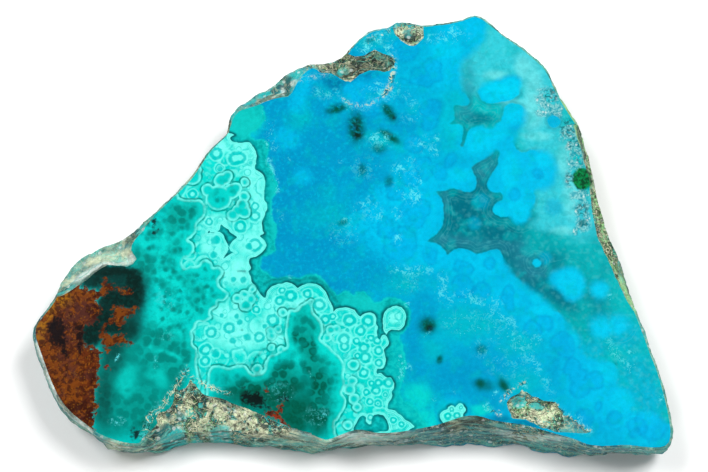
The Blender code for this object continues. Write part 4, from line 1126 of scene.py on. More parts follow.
@dataclass
class CrustedSkin:
    """The rough skin round the side and in the pockets: layered rock with pale and turquoise crusts."""

    least_crust: float = 0.3
    sea_walls: tuple = (
        (3, 14, 2.4, 8, 20), (92, 1, 22, 4.6), (104, 0, 9, 4), (14, 2, 4.6, 1.6, -20), (21.4, 4.4, 2, 1.6),
        (43.4, 5.4, 5, 1.2, -17), (72, 3.6, 9, 1.6),
    )
    azure_walls: tuple = (
        (45, 68.6, 5, 2, 30), (50.4, 72.4, 5, 1.6, 10), (40.4, 66.4, 3.6, 1.4, 30), (64, 77.6, 5.6, 3.4, 25),
        (66, 79.8, 3.4, 1.8), (60.8, 70.4, 2.6, 1, 10), (90.4, 8.8, 3.4, 1.6), (96.6, 4.6, 2.6, 1, -25),
    )
    green_grounds: tuple = (
        (90.6, 7.2, 5.6, 3.4), (67, 78.8, 3.6, 2.8), (60, 73, 7.6, 3), (50, 72, 5, 2), (25, 5, 4, 3),
        (34, 5, 6, 2.4), (44, 68.6, 5, 2.4),
    )
    grey_walls: tuple = (
        (10, 33, 6, 2.6, 40), (16, 37.6, 5, 2.2, 25), (6, 29.4, 2.6, 1.6, 40), (60, 2, 12, 2.4),
        (3, 14, 1.6, 7, 20), (8, 5, 3.4, 2, -40),
    )
    cream: tuple = (
        (22.6, 8, 1.6, 2.6), (24.4, 5.8, 1.6, 1.6), (36, 7.8, 3.4, 1.4, -15), (27, 6.4, 1.2, 2),
        (31.4, 4.6, 1.6, 1), (38, 5.8, 2.4, 1.4, -10), (28, 9.4, 0.9, 3), (40.4, 4.4, 2.4, 0.9, -10),
        (91.6, 5.8, 1.8, 0.9, -20), (93.6, 7.4, 1.2, 1.4), (86.4, 6.4, 1, 0.7), (85.5, 8.2, 0.5, 1.6),
        (88.2, 11, 0.5, 0.8), (90, 7, 1, 0.8), (14, 35.8, 5, 1, 10), (64.8, 70.6, 0.8, 1.6),
        (62.6, 75, 1.4, 0.6, -30), (66.2, 78.4, 1.2, 1.4), (70.2, 78.6, 1, 1.4), (57.4, 69.4, 1.2, 0.5),
        (53, 72.6, 2.4, 0.7), (57.4, 74, 2.2, 0.5, -10), (43, 66.2, 2, 0.5, 20), (76, 4.9, 1.4, 0.6),
        (46, 3.4, 2.4, 0.7, -8), (16.6, 1.6, 3, 0.6, -4), (61, 72, 3.4, 0.3), (67.8, 76.6, 2, 0.5),
    )
    lime: tuple = (
        (105.4, 33, 1.3, 4.4, 20), (102.8, 44, 1, 5, 12), (107.4, 27.6, 0.9, 3, 20), (99.6, 59, 0.8, 3, 18),
        (97.6, 63.4, 0.8, 2.6, 35), (101.4, 53.6, 0.6, 3.4, 10), (28.6, 5.6, 0.8, 3.6),
        (93, 6.8, 2.2, 1.8, -30), (88.6, 7.4, 2.4, 1.8, -10), (63.8, 70.2, 0.6, 2), (26, 5, 0.9, 0.6),
        (103.8, 38.4, 0.9, 2.4, 16),
    )
    turquoise: tuple = (
        (25.4, 3.2, 2.4, 1.8), (27.1, 6.5, 0.8, 0.8), (34, 3.9, 1.9, 1.1, 15), (29, 2.6, 0.9, 0.8),
        (25, 6.4, 0.6, 0.6), (29.8, 3, 0.6, 0.6), (35.6, 3, 0.6, 0.5), (41.2, 67, 1.6, 0.6, 20),
        (38.8, 65.4, 1.4, 0.5, 35), (55.4, 71.2, 0.5, 1), (46.8, 70.6, 2, 0.8, 30), (30.6, 8.4, 0.5, 0.5),
        (19, 40.6, 1.2, 0.8, 40), (36, 62.2, 0.8, 1.4), (44.6, 5.4, 2.6, 0.4, -25), (56.6, 3.4, 2, 0.4),
        (87.4, 8.8, 1.3, 1), (68, 78.8, 0.9, 0.9), (90.4, 8.2, 1.4, 0.6, -10),
    )
    umber: tuple = (
        (35.6, 9.2, 3, 0.9, -18), (26.8, 10, 1.2, 1.8), (30.4, 9.2, 1.6, 1.2), (58.6, 71.8, 1.6, 0.8),
        (61.6, 74, 2.6, 0.9, -8), (57, 70.4, 1.7, 0.9), (53.6, 72.2, 2.2, 0.5, 10), (55.8, 72.8, 1.4, 0.8),
        (35.2, 61.2, 0.9, 1.8), (68.6, 77.6, 1.2, 0.8), (102.3, 40.8, 0.6, 1.5, 10), (105.6, 32, 0.4, 0.5),
        (106.4, 28.7, 0.4, 1, 20), (107.6, 26, 0.4, 0.9, 20), (91.8, 6.8, 0.6, 0.7), (79, 5.9, 3, 0.5),
        (22.6, 3.4, 1.2, 0.8), (104.2, 36.4, 0.4, 1, 20), (99.8, 60.4, 0.4, 1.8, 15), (31.6, 7, 1.8, 0.7),
        (75, 4.9, 2.4, 0.4), (20.6, 3.6, 0.9, 0.6), (64.4, 73, 0.5, 1.2), (63.4, 69.4, 0.6, 1.2),
    )
    frost: tuple = (
        (10.6, 33.2, 2.2, 0.7, 30), (14.8, 34.2, 3.4, 0.6, 8), (8.6, 32, 1.6, 0.6, 30),
        (18, 35.6, 2, 0.7, 40), (46.8, 69, 0.9, 0.6), (44.8, 67.8, 0.4, 1.2, 10), (62.4, 67.8, 1.2, 0.9),
        (64, 68.6, 0.7, 1.4), (55.6, 3, 5, 0.5), (63, 3.4, 4, 0.5), (90, 3.2, 6, 0.25, -9),
        (60.4, 66.4, 2, 0.4, 10),
    )
    # A painted highlight: a thin white line along the top bevel of the lower-left rim, standing in for light
    # caught there.
    painted_bevel_highlight: tuple = ((1.6, 19.4), (1.9, 18), (3.4, 14), (4.8, 10.8), (6.3, 8.2), (8.6, 5.6), (11, 3.6))
    crust_reach: tuple = (
        (30, 7, 12, 6), (42, 5.4, 7, 2.4), (90.6, 6.8, 6, 3.6), (60, 72.8, 8, 3.4), (67.6, 78.4, 3.4, 2.4),
        (103, 42, 3, 22), (53, 72.4, 4, 1.6),
    )
    runs: tuple = (
        (0.8, 1.3, ((65.2, 74), (65.4, 72.4), (65, 70), (64.6, 68), (63.6, 66.6))),
        (0.6, 0.8, ((63.4, 66.4), (61.4, 64.8), (59.4, 64.2), (57.4, 64.6), (55.8, 65.8))),
        (0.9, 1.2, ((20.8, 2.8), (21.8, 6.2), (24.8, 9.2), (26.6, 12.4), (28.2, 14.8))),
        (0.8, 0.9, ((29, 13.2), (33, 11.2), (36, 10.2))), (0.7, 0.9, ((84.2, 9), (86, 11.2), (88.6, 12.4))),
        (0.9, 0.9, ((93.2, 8.8), (96, 6), (99.6, 3.6))),
        (0.6, 1.6, ((60.4, 77), (63.6, 78.6), (66.4, 80.6))),
        (0.5, 1.2, ((47, 69.4), (50, 70), (53.6, 70.6))), (0.7, 0.8, ((82, 7.6), (84, 6.6))),
    )
    dark_grounds: tuple = (
        (61.8, 73, 3.8, 1.9, -8), (58, 71.8, 2.8, 1.5), (55.6, 71, 1.6, 1.2), (68.4, 77.8, 1.2, 0.8),
        (51.6, 70.8, 1.6, 0.6, 10), (79, 5.8, 3, 0.7), (35.6, 9, 2.6, 0.9, -18), (22.4, 3.4, 1.4, 0.9),
    )
    creamy: tuple = (
        (25, 9, 4, 4.6), (33, 7, 8, 3), (41, 4.6, 5, 1.6), (91.4, 6.8, 3.4, 2.2), (67.4, 78.8, 1.6, 1.2),
    )

    def blotches(self, points: PlanPoints) -> np.ndarray:
        """Where the crust has cream blotches, from 0 to 1."""
        bare = points.spared(self.turquoise + self.dark_grounds, 0.9, 1.3, 0.8)
        return bare * points.covered(self.creamy, 1.3, 0.8)

    def crust(self, points: PlanPoints) -> np.ndarray:
        """How much of the face is threaded with crust that has run out of the pockets, from 0 to 1."""
        return np.max([weight * points.along(line, width) for weight, width, line in self.runs], axis=0)

    def wash(self, points: PlanPoints, places: np.ndarray) -> np.ndarray:
        """The skin's colour.

        Args:
            points: the mesh's points in the plan.
            places: the same points in space, in millimetres.

        Returns:
            One colour a point.
        """
        layered = places * (0.3, 0.3, 1.0)
        wash = Wash.of(points, Tint.LICHEN)
        wash.lay(Tint.MAUVE, 0.5 * fade(rough(layered, 2.6), -0.05, 0.4))
        wash.dab(Tint.AZURE, self.azure_walls, 0.75, 0.4)
        wash.dab(Tint.GREY, self.grey_walls, 0.8, 0.5)
        wash.lay(Tint.UMBER, 0.7 * fade(rough(layered + 21.0, 1.5), 0.05, 0.4))
        wash.lay(Tint.CREAM, 0.5 * fade(rough(layered + 43.0, 1.0), 0.12, 0.45))
        wash.lay(Tint.DARK_SEA, 0.65 * fade(rough(layered + 67.0, 1.7), 0.1, 0.4))
        wash.lay(Tint.TURQUOISE, 0.6 * fade(rough(places + 83.0, 1.6), 0.2, 0.45))
        wash.dab(Tint.DARK_SEA, self.sea_walls, 0.72, 0.4)
        wash.dab(Tint.TURQUOISE, self.green_grounds, 0.5, 0.5)
        wash.dab(Tint.LIME, self.lime, 0.85, 0.4)
        wash.dab(Tint.CREAM, self.cream, 0.7, 0.5)
        wash.dab(Tint.BARK, self.umber, 0.8, 0.5)
        wash.dab(Tint.BARK, self.dark_grounds, 0.9, 0.35)
        wash.dab(Tint.TURQUOISE, self.turquoise, 0.95, 0.25)
        wash.dab(Tint.WHITE, self.frost, 0.75, 0.6)
        # Painted highlight: white laid along the lower-left rim, only near the top of the skin, where the
        # bevel catches light.
        wash.lay(Tint.WHITE, 0.9 * points.along(self.painted_bevel_highlight, 1.1) * fade(places[:, 2], 8.8, 10.0))
        return wash.colours

    def worms(self, points: PlanPoints) -> np.ndarray:
        """How much of the skin is threaded with cream crust, from 0 to 1."""
        bare = points.spared(self.turquoise, 0.85, 1.3, 0.8) * points.spared(self.dark_grounds, 0.6, 1.1, 0.7)
        return bare * np.maximum(self.least_crust, points.covered(self.crust_reach, 1.3, 0.8))


@dataclass
class SlabPattern:
    """Computes the slab's whole pattern and stores it on the mesh for the three finishes."""

    plan: StonePlan
    mint: MintMass
    teal: TealZones
    blue: BlueField
    veil: Veil
    rust: RustTip
    skin: CrustedSkin
    wave_size: float = 1.3
    wave_reach: float = 0.16
    seam_blur: float = 1.2
    face_reach: float = 0.45
    back_reach: float = 0.003

    def store(self, mesh: bpy.types.Mesh, name: str, values: np.ndarray, chosen: np.ndarray) -> None:
        """Keeps one value or colour for each point.

        Args:
            mesh: the slab's mesh.
            name: what the finishes call it.
            values: one value or colour for each chosen point.
            chosen: True for each point that has one. The others get 0.
        """
        if values.ndim == 2:
            kept = np.zeros((len(chosen), 4))
            kept[chosen, :3] = values
            kept[:, 3] = 1.0
            mesh.attributes.new(name, "FLOAT_COLOR", "POINT").data.foreach_set("color", kept.ravel())
        else:
            kept = np.zeros(len(chosen))
            kept[chosen] = values
            mesh.attributes.new(name, "FLOAT", "POINT").data.foreach_set("value", kept)

    def face(self, mesh: bpy.types.Mesh, places: np.ndarray, chosen: np.ndarray) -> None:
        """Lays the pattern on the polished face.

        Args:
            mesh: the slab's mesh.
            places: its points, in millimetres.
            chosen: True for each point of the face.
        """
        points = PlanPoints(self.plan.plan_of(places[chosen]))
        waved = points.wavered(self.wave_size, self.wave_reach)
        ragged = points.wavered(0.7, 0.4)
        cloudy = waved.wavered(5.0, 1.6)
        teal = self.rust.darken(self.teal.wash(cloudy), ragged)
        fields = {
            "mint_depth": self.mint.depth(waved),
            "teal_depth": self.teal.depth(waved, self.mint.islands),
            "band_depth": waved.depth_in(self.blue.band_edge),
            "azure_depth": self.veil.depth(waved),
            "rust_depth": ragged.depth_in_any(self.rust.patches),
            "black_depth": ragged.depth_in_any(self.rust.black),
            "eye_share": waved.nearest_disc(self.mint.eyes),
            "core_share": waved.nearest_disc(self.mint.cores),
            "banding": np.maximum(self.mint.least_banding, points.covered(self.mint.banded, 1.15, 0.8)),
            "calm": self.teal.calm(points),
            "rosetted": self.teal.rosetted(points),
            "softness": self.veil.softness(points),
            "frosted": waved.covered(self.veil.frosted, 1.25, 0.75),
            "speckled": waved.covered(self.veil.speckled, 1.25, 0.75),
            "second_line": points.along(self.blue.second_line, 0.45),
            "sugar": self.blue.sugar(points),
            "mottled": self.blue.mottled(points),
            "crust": self.skin.crust(ragged),
            "mint_tint": self.mint.wash(waved),
            "teal_tint": teal,
            "blue_tint": self.blue.wash(waved),
            "band_tint": self.blue.band_wash(waved),
            "veil_tint": self.veil.wash(waved),
            "rust_tint": self.rust.wash(ragged),
        }
        for name, values in fields.items():
            self.store(mesh, name, values, chosen)

    def back(self, points: PlanPoints) -> np.ndarray:
        """The sawn back's colours: the face's zones, duller and with soft edges.

        Args:
            points: the back's points in the plan.

        Returns:
            One colour a point.
        """
        colours = self.blue.wash(points)
        for depth, over in (
            (-self.veil.depth(points), self.veil.wash(points)),
            (self.mint.depth(points), self.mint.wash(points)),
            (self.teal.depth(points, self.mint.islands), self.rust.darken(self.teal.wash(points), points)),
            (points.depth_in_any(self.rust.patches), self.rust.wash(points)),
        ):
            colours = colours + (over - colours) * fade(depth, -self.seam_blur, self.seam_blur)[:, None]
        return colours

    def lay_on(self, stone: bpy.types.Object) -> None:
        """Stores every field on the slab's mesh.

        Args:
            stone: the visible slab.
        """
        mesh = stone.data
        places = np.empty(len(mesh.vertices) * 3)
        mesh.vertices.foreach_get("co", places)
        places = places.reshape(-1, 3) / MM
        top = places[:, 2] > self.plan.thickness - self.face_reach
        bottom = places[:, 2] < self.back_reach
        self.face(mesh, places, top)
        points = PlanPoints(self.plan.plan_of(places))
        skin = self.skin.wash(points, places)
        skin[bottom] = self.back(PlanPoints(points.places[bottom]))
        everywhere = np.ones(len(places), bool)
        self.store(mesh, "skin_tint", skin, everywhere)
        self.store(mesh, "worms", self.skin.worms(points), everywhere)
        self.store(mesh, "blotches", self.skin.blotches(points), everywhere)
        blob = points.wavered(1.2, 0.25).share_of(*self.veil.malachite)
        self.store(mesh, "malachite", fade(blob, 1.06, 0.94), everywhere)


class Wiring:
    """Places nodes in one tree and joins them."""

    def __init__(self, tree: bpy.types.NodeTree) -> None:
        """Keeps the tree."""
        self.tree = tree

    def feed(self, socket: Socket, value: object) -> None:
        """Joins another socket to this one, or sets its value or colour.

        Args:
            socket: the socket that is fed.
            value: another socket, a tint or a plain value.
        """
        if isinstance(value, Socket):
            self.tree.links.new(value, socket)
        elif isinstance(value, Tint):
            socket.default_value = value.rgba
        else:
            socket.default_value = value

    def add(self, kind: str, inputs: dict | None = None, **settings: object) -> bpy.types.Node:
        """A new node.

        Args:
            kind: the node's type.
            inputs: what its sockets take, by name or number.
            settings: its other values.

        Returns:
            The node.
        """
        node = self.tree.nodes.new(kind)
        for name, value in settings.items():
            setattr(node, name, value)
        for name, value in (inputs or {}).items():
            self.feed(node.inputs[name], value)
        return node

    def field(self, name: str) -> Socket:
        """A value stored on the mesh."""
        return self.add("ShaderNodeAttribute", attribute_name=name).outputs["Fac"]

    def tint(self, name: str) -> Socket:
        """A colour stored on the mesh."""
        return self.add("ShaderNodeAttribute", attribute_name=name).outputs["Color"]

    def maths(self, operation: str, first: object, second: object = 0.0) -> Socket:
        """One sum of two values."""
        return self.add("ShaderNodeMath", {0: first, 1: second}, operation=operation).outputs[0]

    def plus(self, first: object, second: object) -> Socket:
        """Two values added."""
        return self.maths("ADD", first, second)

    def times(self, first: object, *others: object) -> Socket:
        """Some values multiplied, in order."""
        for other in others:
            first = self.maths("MULTIPLY", first, other)
        return first

    def step(self, value: object, start: float, end: float, low: float = 0.0, high: float = 1.0) -> Socket:
        """A smooth step from low to high as a value goes from start to end.

        Args:
            value: the value.
            start, end: the two ends of the step, in either order.
            low, high: what it gives at start and at end.

        Returns:
            The stepped value.
        """
        flip = start > end
        inputs = {
            "Value": value,
            "From Min": end if flip else start,
            "From Max": start if flip else end,
            "To Min": high if flip else low,
            "To Max": low if flip else high,
        }
        return self.add("ShaderNodeMapRange", inputs, interpolation_type="SMOOTHSTEP").outputs[0]

    def hump(self, value: object, start: float, full: float, still: float, end: float) -> Socket:
        """1 between full and still, falling to 0 at start and at end."""
        return self.times(self.step(value, start, full), self.step(value, end, still))

    def mix(self, share: object, under: object, over: object, blend: str = "MIX") -> Socket:
        """One colour over another."""
        node = self.add("ShaderNodeMix", data_type="RGBA", blend_type=blend)
        for socket, value in zip((node.inputs[0], node.inputs[6], node.inputs[7]), (share, under, over)):
            self.feed(socket, value)
        return node.outputs[2]

    def lay(self, under: object, over: object, strength: float, *masks: object) -> Socket:
        """One colour laid over another through masks.

        Args:
            under: the colour underneath.
            over: the colour laid over it.
            strength: how much of it shows where every mask is 1.
            masks: values from 0 to 1, which are multiplied.

        Returns:
            The mixed colour.
        """
        return self.mix(self.times(*masks, strength), under, over)

    def places(self, size: object, squash: tuple = EVEN) -> Socket:
        """The surface's places, in units of a size in millimetres, squashed along each axis."""
        where = self.add("ShaderNodeTexCoord").outputs["Object"]
        where = self.add("ShaderNodeVectorMath", {0: where, 1: squash}, operation="MULTIPLY").outputs[0]
        scale = self.maths("DIVIDE", 1.0 / MM, size)
        return self.add("ShaderNodeVectorMath", {0: where, "Scale": scale}, operation="SCALE").outputs[0]

    def noise(self, size: object, detail: float, twist: float = 0.0, squash: tuple = EVEN) -> Socket:
        """Noise from 0 to 1.

        Args:
            size: how wide its features are, in millimetres.
            detail: how many finer layers it adds.
            twist: how far it is pulled out of shape.
            squash: how much finer it is along each axis.

        Returns:
            The noise.
        """
        inputs = {"Vector": self.places(size, squash), "Scale": 1.0, "Detail": detail, "Distortion": twist}
        return self.add("ShaderNodeTexNoise", inputs).outputs["Fac"]

    def clouds(self, start: float, end: float, size: float, detail: float, twist: float = 0.0) -> Socket:
        """A smooth step through noise, from 0 where it is at start to 1 where it is at end."""
        return self.step(self.noise(size, detail, twist), start, end)

    def thread(self, size: float, width: float, twist: float, squash: tuple = EVEN) -> Socket:
        """1 along the winding lines where noise crosses its middle value, and 0 beside them."""
        away = self.maths("ABSOLUTE", self.maths("SUBTRACT", self.noise(size, 3.0, twist, squash), 0.5))
        return self.step(away, width, 0.2 * width)

    def bump(self, shader: bpy.types.Node, height: object, strength: float, distance: float) -> None:
        """Gives a shader a relief, whose height of 1 stands for a distance in metres."""
        node = self.add("ShaderNodeBump", {"Height": height, "Strength": strength, "Distance": distance})
        self.feed(shader.inputs["Normal"], node.outputs[0])


def new_group(name: str, inputs: dict, outputs: dict) -> tuple:
    """A new node group.

    Args:
        name: the group's name.
        inputs: the kind of each socket that it takes, by name.
        outputs: the kind of each socket that it puts out, by name.

    Returns:
        Its tree, the wiring of that tree, and the values that it is given.
    """
    tree = bpy.data.node_groups.new(name, "ShaderNodeTree")
    for side, sockets in (("INPUT", inputs), ("OUTPUT", outputs)):
        for socket, kind in sockets.items():
            tree.interface.new_socket(socket, in_out=side, socket_type=f"NodeSocket{kind}")
    wiring = Wiring(tree)
    return tree, wiring, wiring.add("NodeGroupInput").outputs


@dataclass(frozen=True)
class SpeckEffect:
    """Small specks scattered at random, for the face and the skin."""

    name: str = "specks"
    dot_edge: float = 0.5
    dot_core: float = 0.3

    def build(self) -> bpy.types.NodeTree:
        """Makes the node group, with a size and an amount, which puts out a mask."""
        tree, wiring, given = new_group(self.name, {"Size": "Float", "Amount": "Float"}, {"Mask": "Float"})
        cells = wiring.add("ShaderNodeTexVoronoi", {"Vector": wiring.places(given["Size"]), "Scale": 1.0})
        luck = wiring.add("ShaderNodeSeparateColor", {0: cells.outputs["Color"]}).outputs[0]
        chosen = wiring.maths("GREATER_THAN", given["Amount"], luck)
        dot = wiring.step(cells.outputs["Distance"], self.dot_edge, self.dot_core)
        wiring.add("NodeGroupOutput", {0: wiring.times(chosen, dot)})
        return tree


@dataclass(frozen=True)
class GrainEffect:
    """Uneven grain in two sizes, as a shade for the colour and a relief for the bump."""

    name: str = "stone_grain"
    fine_size: float = 0.35
    coarse_weight: float = 0.6
    fine_weight: float = 0.4

    def build(self) -> bpy.types.NodeTree:
        """Makes the node group, with a size and a contrast, which puts out a shade and a relief."""
        sockets = {"Size": "Float", "Contrast": "Float"}
        tree, wiring, given = new_group(self.name, sockets, {"Shade": "Float", "Relief": "Float"})
        coarse = wiring.noise(given["Size"], 3.0)
        fine = wiring.noise(wiring.times(given["Size"], self.fine_size), 2.0)
        relief = wiring.plus(wiring.times(coarse, self.coarse_weight), wiring.times(fine, self.fine_weight))
        centred = wiring.maths("SUBTRACT", relief, 0.5)
        shade = wiring.plus(wiring.times(centred, given["Contrast"]), 1.0)
        wiring.add("NodeGroupOutput", {0: shade, 1: relief})
        return tree


@dataclass(frozen=True)
class BlobEffect:
    """The velvety malachite blob, which crosses from the face onto the skin."""

    name: str = "malachite_blob"
    pile_size: float = 0.7

    def build(self) -> bpy.types.NodeTree:
        """Makes the node group, with a colour and a share, which puts out the colour with the blob on it."""
        tree, wiring, given = new_group(self.name, {"Color": "Color", "Share": "Float"}, {"Color": "Color"})
        pile = wiring.clouds(0.4, 0.62, self.pile_size, 4.0, 0.6)
        velvet = wiring.mix(pile, Tint.DARK_MALACHITE, Tint.MALACHITE)
        wiring.add("NodeGroupOutput", {0: wiring.mix(given["Share"], given["Color"], velvet)})
        return tree


@dataclass(frozen=True)
class Effects:
    """The node groups that the finishes share."""

    specks: bpy.types.NodeTree
    grain: bpy.types.NodeTree
    blob: bpy.types.NodeTree

    def blobbed(self, wiring: Wiring, colour: object) -> Socket:
        """A colour with the malachite blob laid over it."""
        inputs = {"Color": colour, "Share": wiring.field("malachite")}
        return self.group(wiring, self.blob, inputs)["Color"]

    def speck_mask(self, wiring: Wiring, size: float, amount: object) -> Socket:
        """The mask of one layer of specks."""
        return self.group(wiring, self.specks, {"Size": size, "Amount": amount})["Mask"]

    def group(self, wiring: Wiring, tree: bpy.types.NodeTree, inputs: dict) -> object:
        """Places one node group in a tree, feeds it, and returns what it puts out."""
        node = wiring.add("ShaderNodeGroup", node_tree=tree)
        for name, value in inputs.items():
            wiring.feed(node.inputs[name], value)
        return node.outputs

    def grained(self, wiring: Wiring, colour: object, size: float, contrast: float) -> tuple:
        """A colour with grain in it.

        Args:
            wiring: the material's wiring.
            colour: the plain colour.
            size: the grain's size in millimetres.
            contrast: how far the grain lightens and darkens.

        Returns:
            The grained colour, and the grain's relief.
        """
        given = self.group(wiring, self.grain, {"Size": size, "Contrast": contrast})
        shade = wiring.add("ShaderNodeCombineColor", {0: given[0], 1: given[0], 2: given[0]})
        return wiring.mix(1.0, colour, shade.outputs[0], "MULTIPLY"), given["Relief"]


def new_material(name: str) -> tuple:
    """A new material, the wiring of its tree and its shader."""
    material = bpy.data.materials.new(name)
    material.use_nodes = True
    return material, Wiring(material.node_tree), material.node_tree.nodes["Principled BSDF"]


@dataclass(frozen=True)
class PolishedFinish:
    """The polished face: blue, veil, green band, mint with its rings, teal and rust, under a gloss.

    Each method takes the material's wiring and gives back a colour. Sizes and depths are in millimetres.
    """

    effects: Effects
    name: str = "polished_chrysocolla"
    roughness: float = 0.1
    gloss: float = 0.06
    lobe_size: float = 3.4
    eye_size: float = 1.8
    rosette_size: float = 1.5
    relief_height: float = 0.00005

    def cells(self, wiring: Wiring, size: float, warp: float) -> tuple:
        """Small round cells, packed side by side.

        Args:
            wiring: the material's wiring.
            size: a cell's width in millimetres.
            warp: how far the cells are pulled out of shape, as a share of their size.

        Returns:
            The distance from the nearest cell's middle, in cell widths, and three random values of that cell.
        """
        where = wiring.places(size)
        pull = wiring.add("ShaderNodeTexNoise", {"Vector": where, "Scale": 1.0}).outputs["Color"]
        pull = wiring.add("ShaderNodeVectorMath", {0: pull, "Scale": warp}, operation="SCALE").outputs[0]
        where = wiring.add("ShaderNodeVectorMath", {0: where, 1: pull}, operation="ADD").outputs[0]
        found = wiring.add("ShaderNodeTexVoronoi", {"Vector": where, "Scale": 1.0}, voronoi_dimensions="2D")
        luck = wiring.add("ShaderNodeSeparateColor", {0: found.outputs["Color"]}).outputs
        return found.outputs["Distance"], luck

    def scalloped(self, wiring: Wiring, colour: object) -> Socket:
        """A colour with lobes in it, each with a pale rim and a thin dark line where it meets the next."""
        away, luck = self.cells(wiring, self.lobe_size, 0.7)
        plain = wiring.step(luck[0], 0.1, 0.5)
        colour = wiring.lay(colour, Tint.PALE_MINT, 0.6, wiring.hump(away, 0.26, 0.4, 0.44, 0.5), plain)
        return wiring.lay(colour, Tint.TEAL, 0.6, wiring.hump(away, 0.44, 0.5, 0.54, 0.62), plain)

    def eyed(self, wiring: Wiring, colour: object) -> Socket:
        """A colour strewn with small ringed eyes, some with a dark heart.

        Args:
            wiring: the material's wiring.
            colour: the colour without eyes.

        Returns:
            The new colour.
        """
        away, luck = self.cells(wiring, self.eye_size, 0.3)
        share = wiring.maths("DIVIDE", away, wiring.step(luck[1], 0.0, 1.0, 0.2, 0.42))
        plain = wiring.step(luck[0], 0.3, 0.5)
        inside = wiring.times(wiring.step(share, 0.7, 0.45), plain)
        colour = wiring.lay(colour, Tint.PALE_MINT, 0.55, inside)
        colour = wiring.lay(colour, Tint.TEAL, 0.55, wiring.hump(share, 0.62, 0.82, 0.98, 1.16), plain)
        hearts = wiring.step(luck[2], 0.55, 0.6)
        return wiring.lay(colour, Tint.TEAL, 0.7, inside, hearts)

    def blue_side(self, wiring: Wiring, uneven: object) -> Socket:
        """The azure and the veil, meeting along the shore.

        Args:
            wiring: the material's wiring.
            uneven: fine noise, from about -0.5 to 0.5.

        Returns:
            The colour outside the green band.
        """
        depth = wiring.plus(wiring.field("azure_depth"), wiring.times(uneven, 0.2))
        crisp = wiring.step(wiring.field("softness"), 0.6, 0.2)
        veil = wiring.lay(wiring.tint("veil_tint"), Tint.SEA, 0.2, wiring.clouds(0.42, 0.64, 1.3, 5.0, 0.5))
        lines = wiring.step(wiring.maths("SINE", wiring.times(depth, 11.0)), 0.5, 1.0)
        zone = wiring.hump(depth, -2.2, -1.4, -0.5, -0.3)
        veil = wiring.lay(veil, Tint.PALE_MILK, 0.09, lines, zone, crisp)
        veil = wiring.lay(veil, Tint.DARK_SEA, 0.25, wiring.hump(depth, -0.8, -0.3, -0.05, 0.05), crisp)
        veil = self.right_margin(wiring, veil)
        shore = wiring.hump(depth, 0.0, 0.1, 0.4, 1.8)
        azure = wiring.lay(wiring.tint("blue_tint"), Tint.BRIGHT_AZURE, 0.14, shore)
        mottled = wiring.field("mottled")
        azure = wiring.lay(azure, Tint.CYAN, 0.24, wiring.clouds(0.5, 0.68, 0.62, 5.0, 0.3), mottled)
        azure = wiring.lay(azure, Tint.DEEP_AZURE, 0.4, wiring.clouds(0.5, 0.68, 0.9, 5.0, 0.3), mottled)
        azure = wiring.lay(azure, Tint.SEA_GREEN, 0.3, wiring.clouds(0.55, 0.75, 1.9, 4.0, 0.6))
        edge = wiring.step(wiring.maths("DIVIDE", depth, wiring.field("softness")), -1.0, 1.0)
        return wiring.mix(edge, veil, azure)

    def right_margin(self, wiring: Wiring, under: object) -> Socket:
        """The frosted and speckled stone along the right edge.

        Args:
            wiring: the material's wiring.
            under: the veil's colour.

        Returns:
            The new colour.
        """
        frosted = wiring.times(wiring.field("frosted"), wiring.clouds(0.36, 0.52, 1.5, 4.0))
        frost = wiring.mix(wiring.clouds(0.4, 0.6, 0.5, 5.0, 0.8), Tint.GREY_SEA, Tint.ICE)
        colour = wiring.lay(under, frost, 0.6, frosted)
        flakes = self.effects.speck_mask(wiring, 0.5, wiring.times(frosted, 0.2))
        colour = wiring.lay(colour, Tint.WHITE, 0.5, flakes)
        gaps = wiring.clouds(0.53, 0.43, 0.8, 4.0, 1.0)
        return wiring.lay(colour, Tint.SEAM, 0.7, wiring.field("speckled"), gaps)

    def loudness(self, wiring: Wiring, size: float, calmest: float, least: float) -> Socket:
        """How plainly an edge line shows from place to place.

        Args:
            wiring: the material's wiring.
            size: the length over which it changes.
            calmest: how much is left where the edge is calm.
            least: how much is left where the noise is low.

        Returns:
            A share from 0 to 1.
        """
        stirred = wiring.step(wiring.field("calm"), 1.0, 0.0, calmest, 1.0)
        return wiring.times(stirred, wiring.step(wiring.noise(size, 2.0), 0.35, 0.6, least, 1.0))

    def green_band(self, wiring: Wiring, under: object, uneven: object, mint_depth: object) -> Socket:
        """The green band outside the malachite, with a dark seam against it.

        Args:
            wiring: the material's wiring.
            under: the colour outside the band.
            uneven: fine noise, from about -0.5 to 0.5.
            mint_depth: how deep the surface lies in the mint.

        Returns:
            The new colour.
        """
        depth = wiring.plus(wiring.field("band_depth"), wiring.times(uneven, 0.7))
        scales = wiring.clouds(0.38, 0.62, 0.8, 4.0, 0.4)
        band = wiring.lay(wiring.tint("band_tint"), Tint.PALE_BAND, 0.8, scales)
        colour = wiring.lay(under, band, 0.9, wiring.step(depth, -0.35, 0.4))
        colour = wiring.lay(colour, Tint.MINT, 0.3, wiring.hump(depth, -0.05, 0.1, 0.2, 0.45))
        colour = wiring.lay(colour, Tint.SEAM, 0.5, wiring.field("second_line"))
        seam = wiring.step(mint_depth, -0.75, -0.15)
        return wiring.lay(colour, Tint.SEAM, 0.95, seam, self.loudness(wiring, 2.4, 0.2, 0.45))

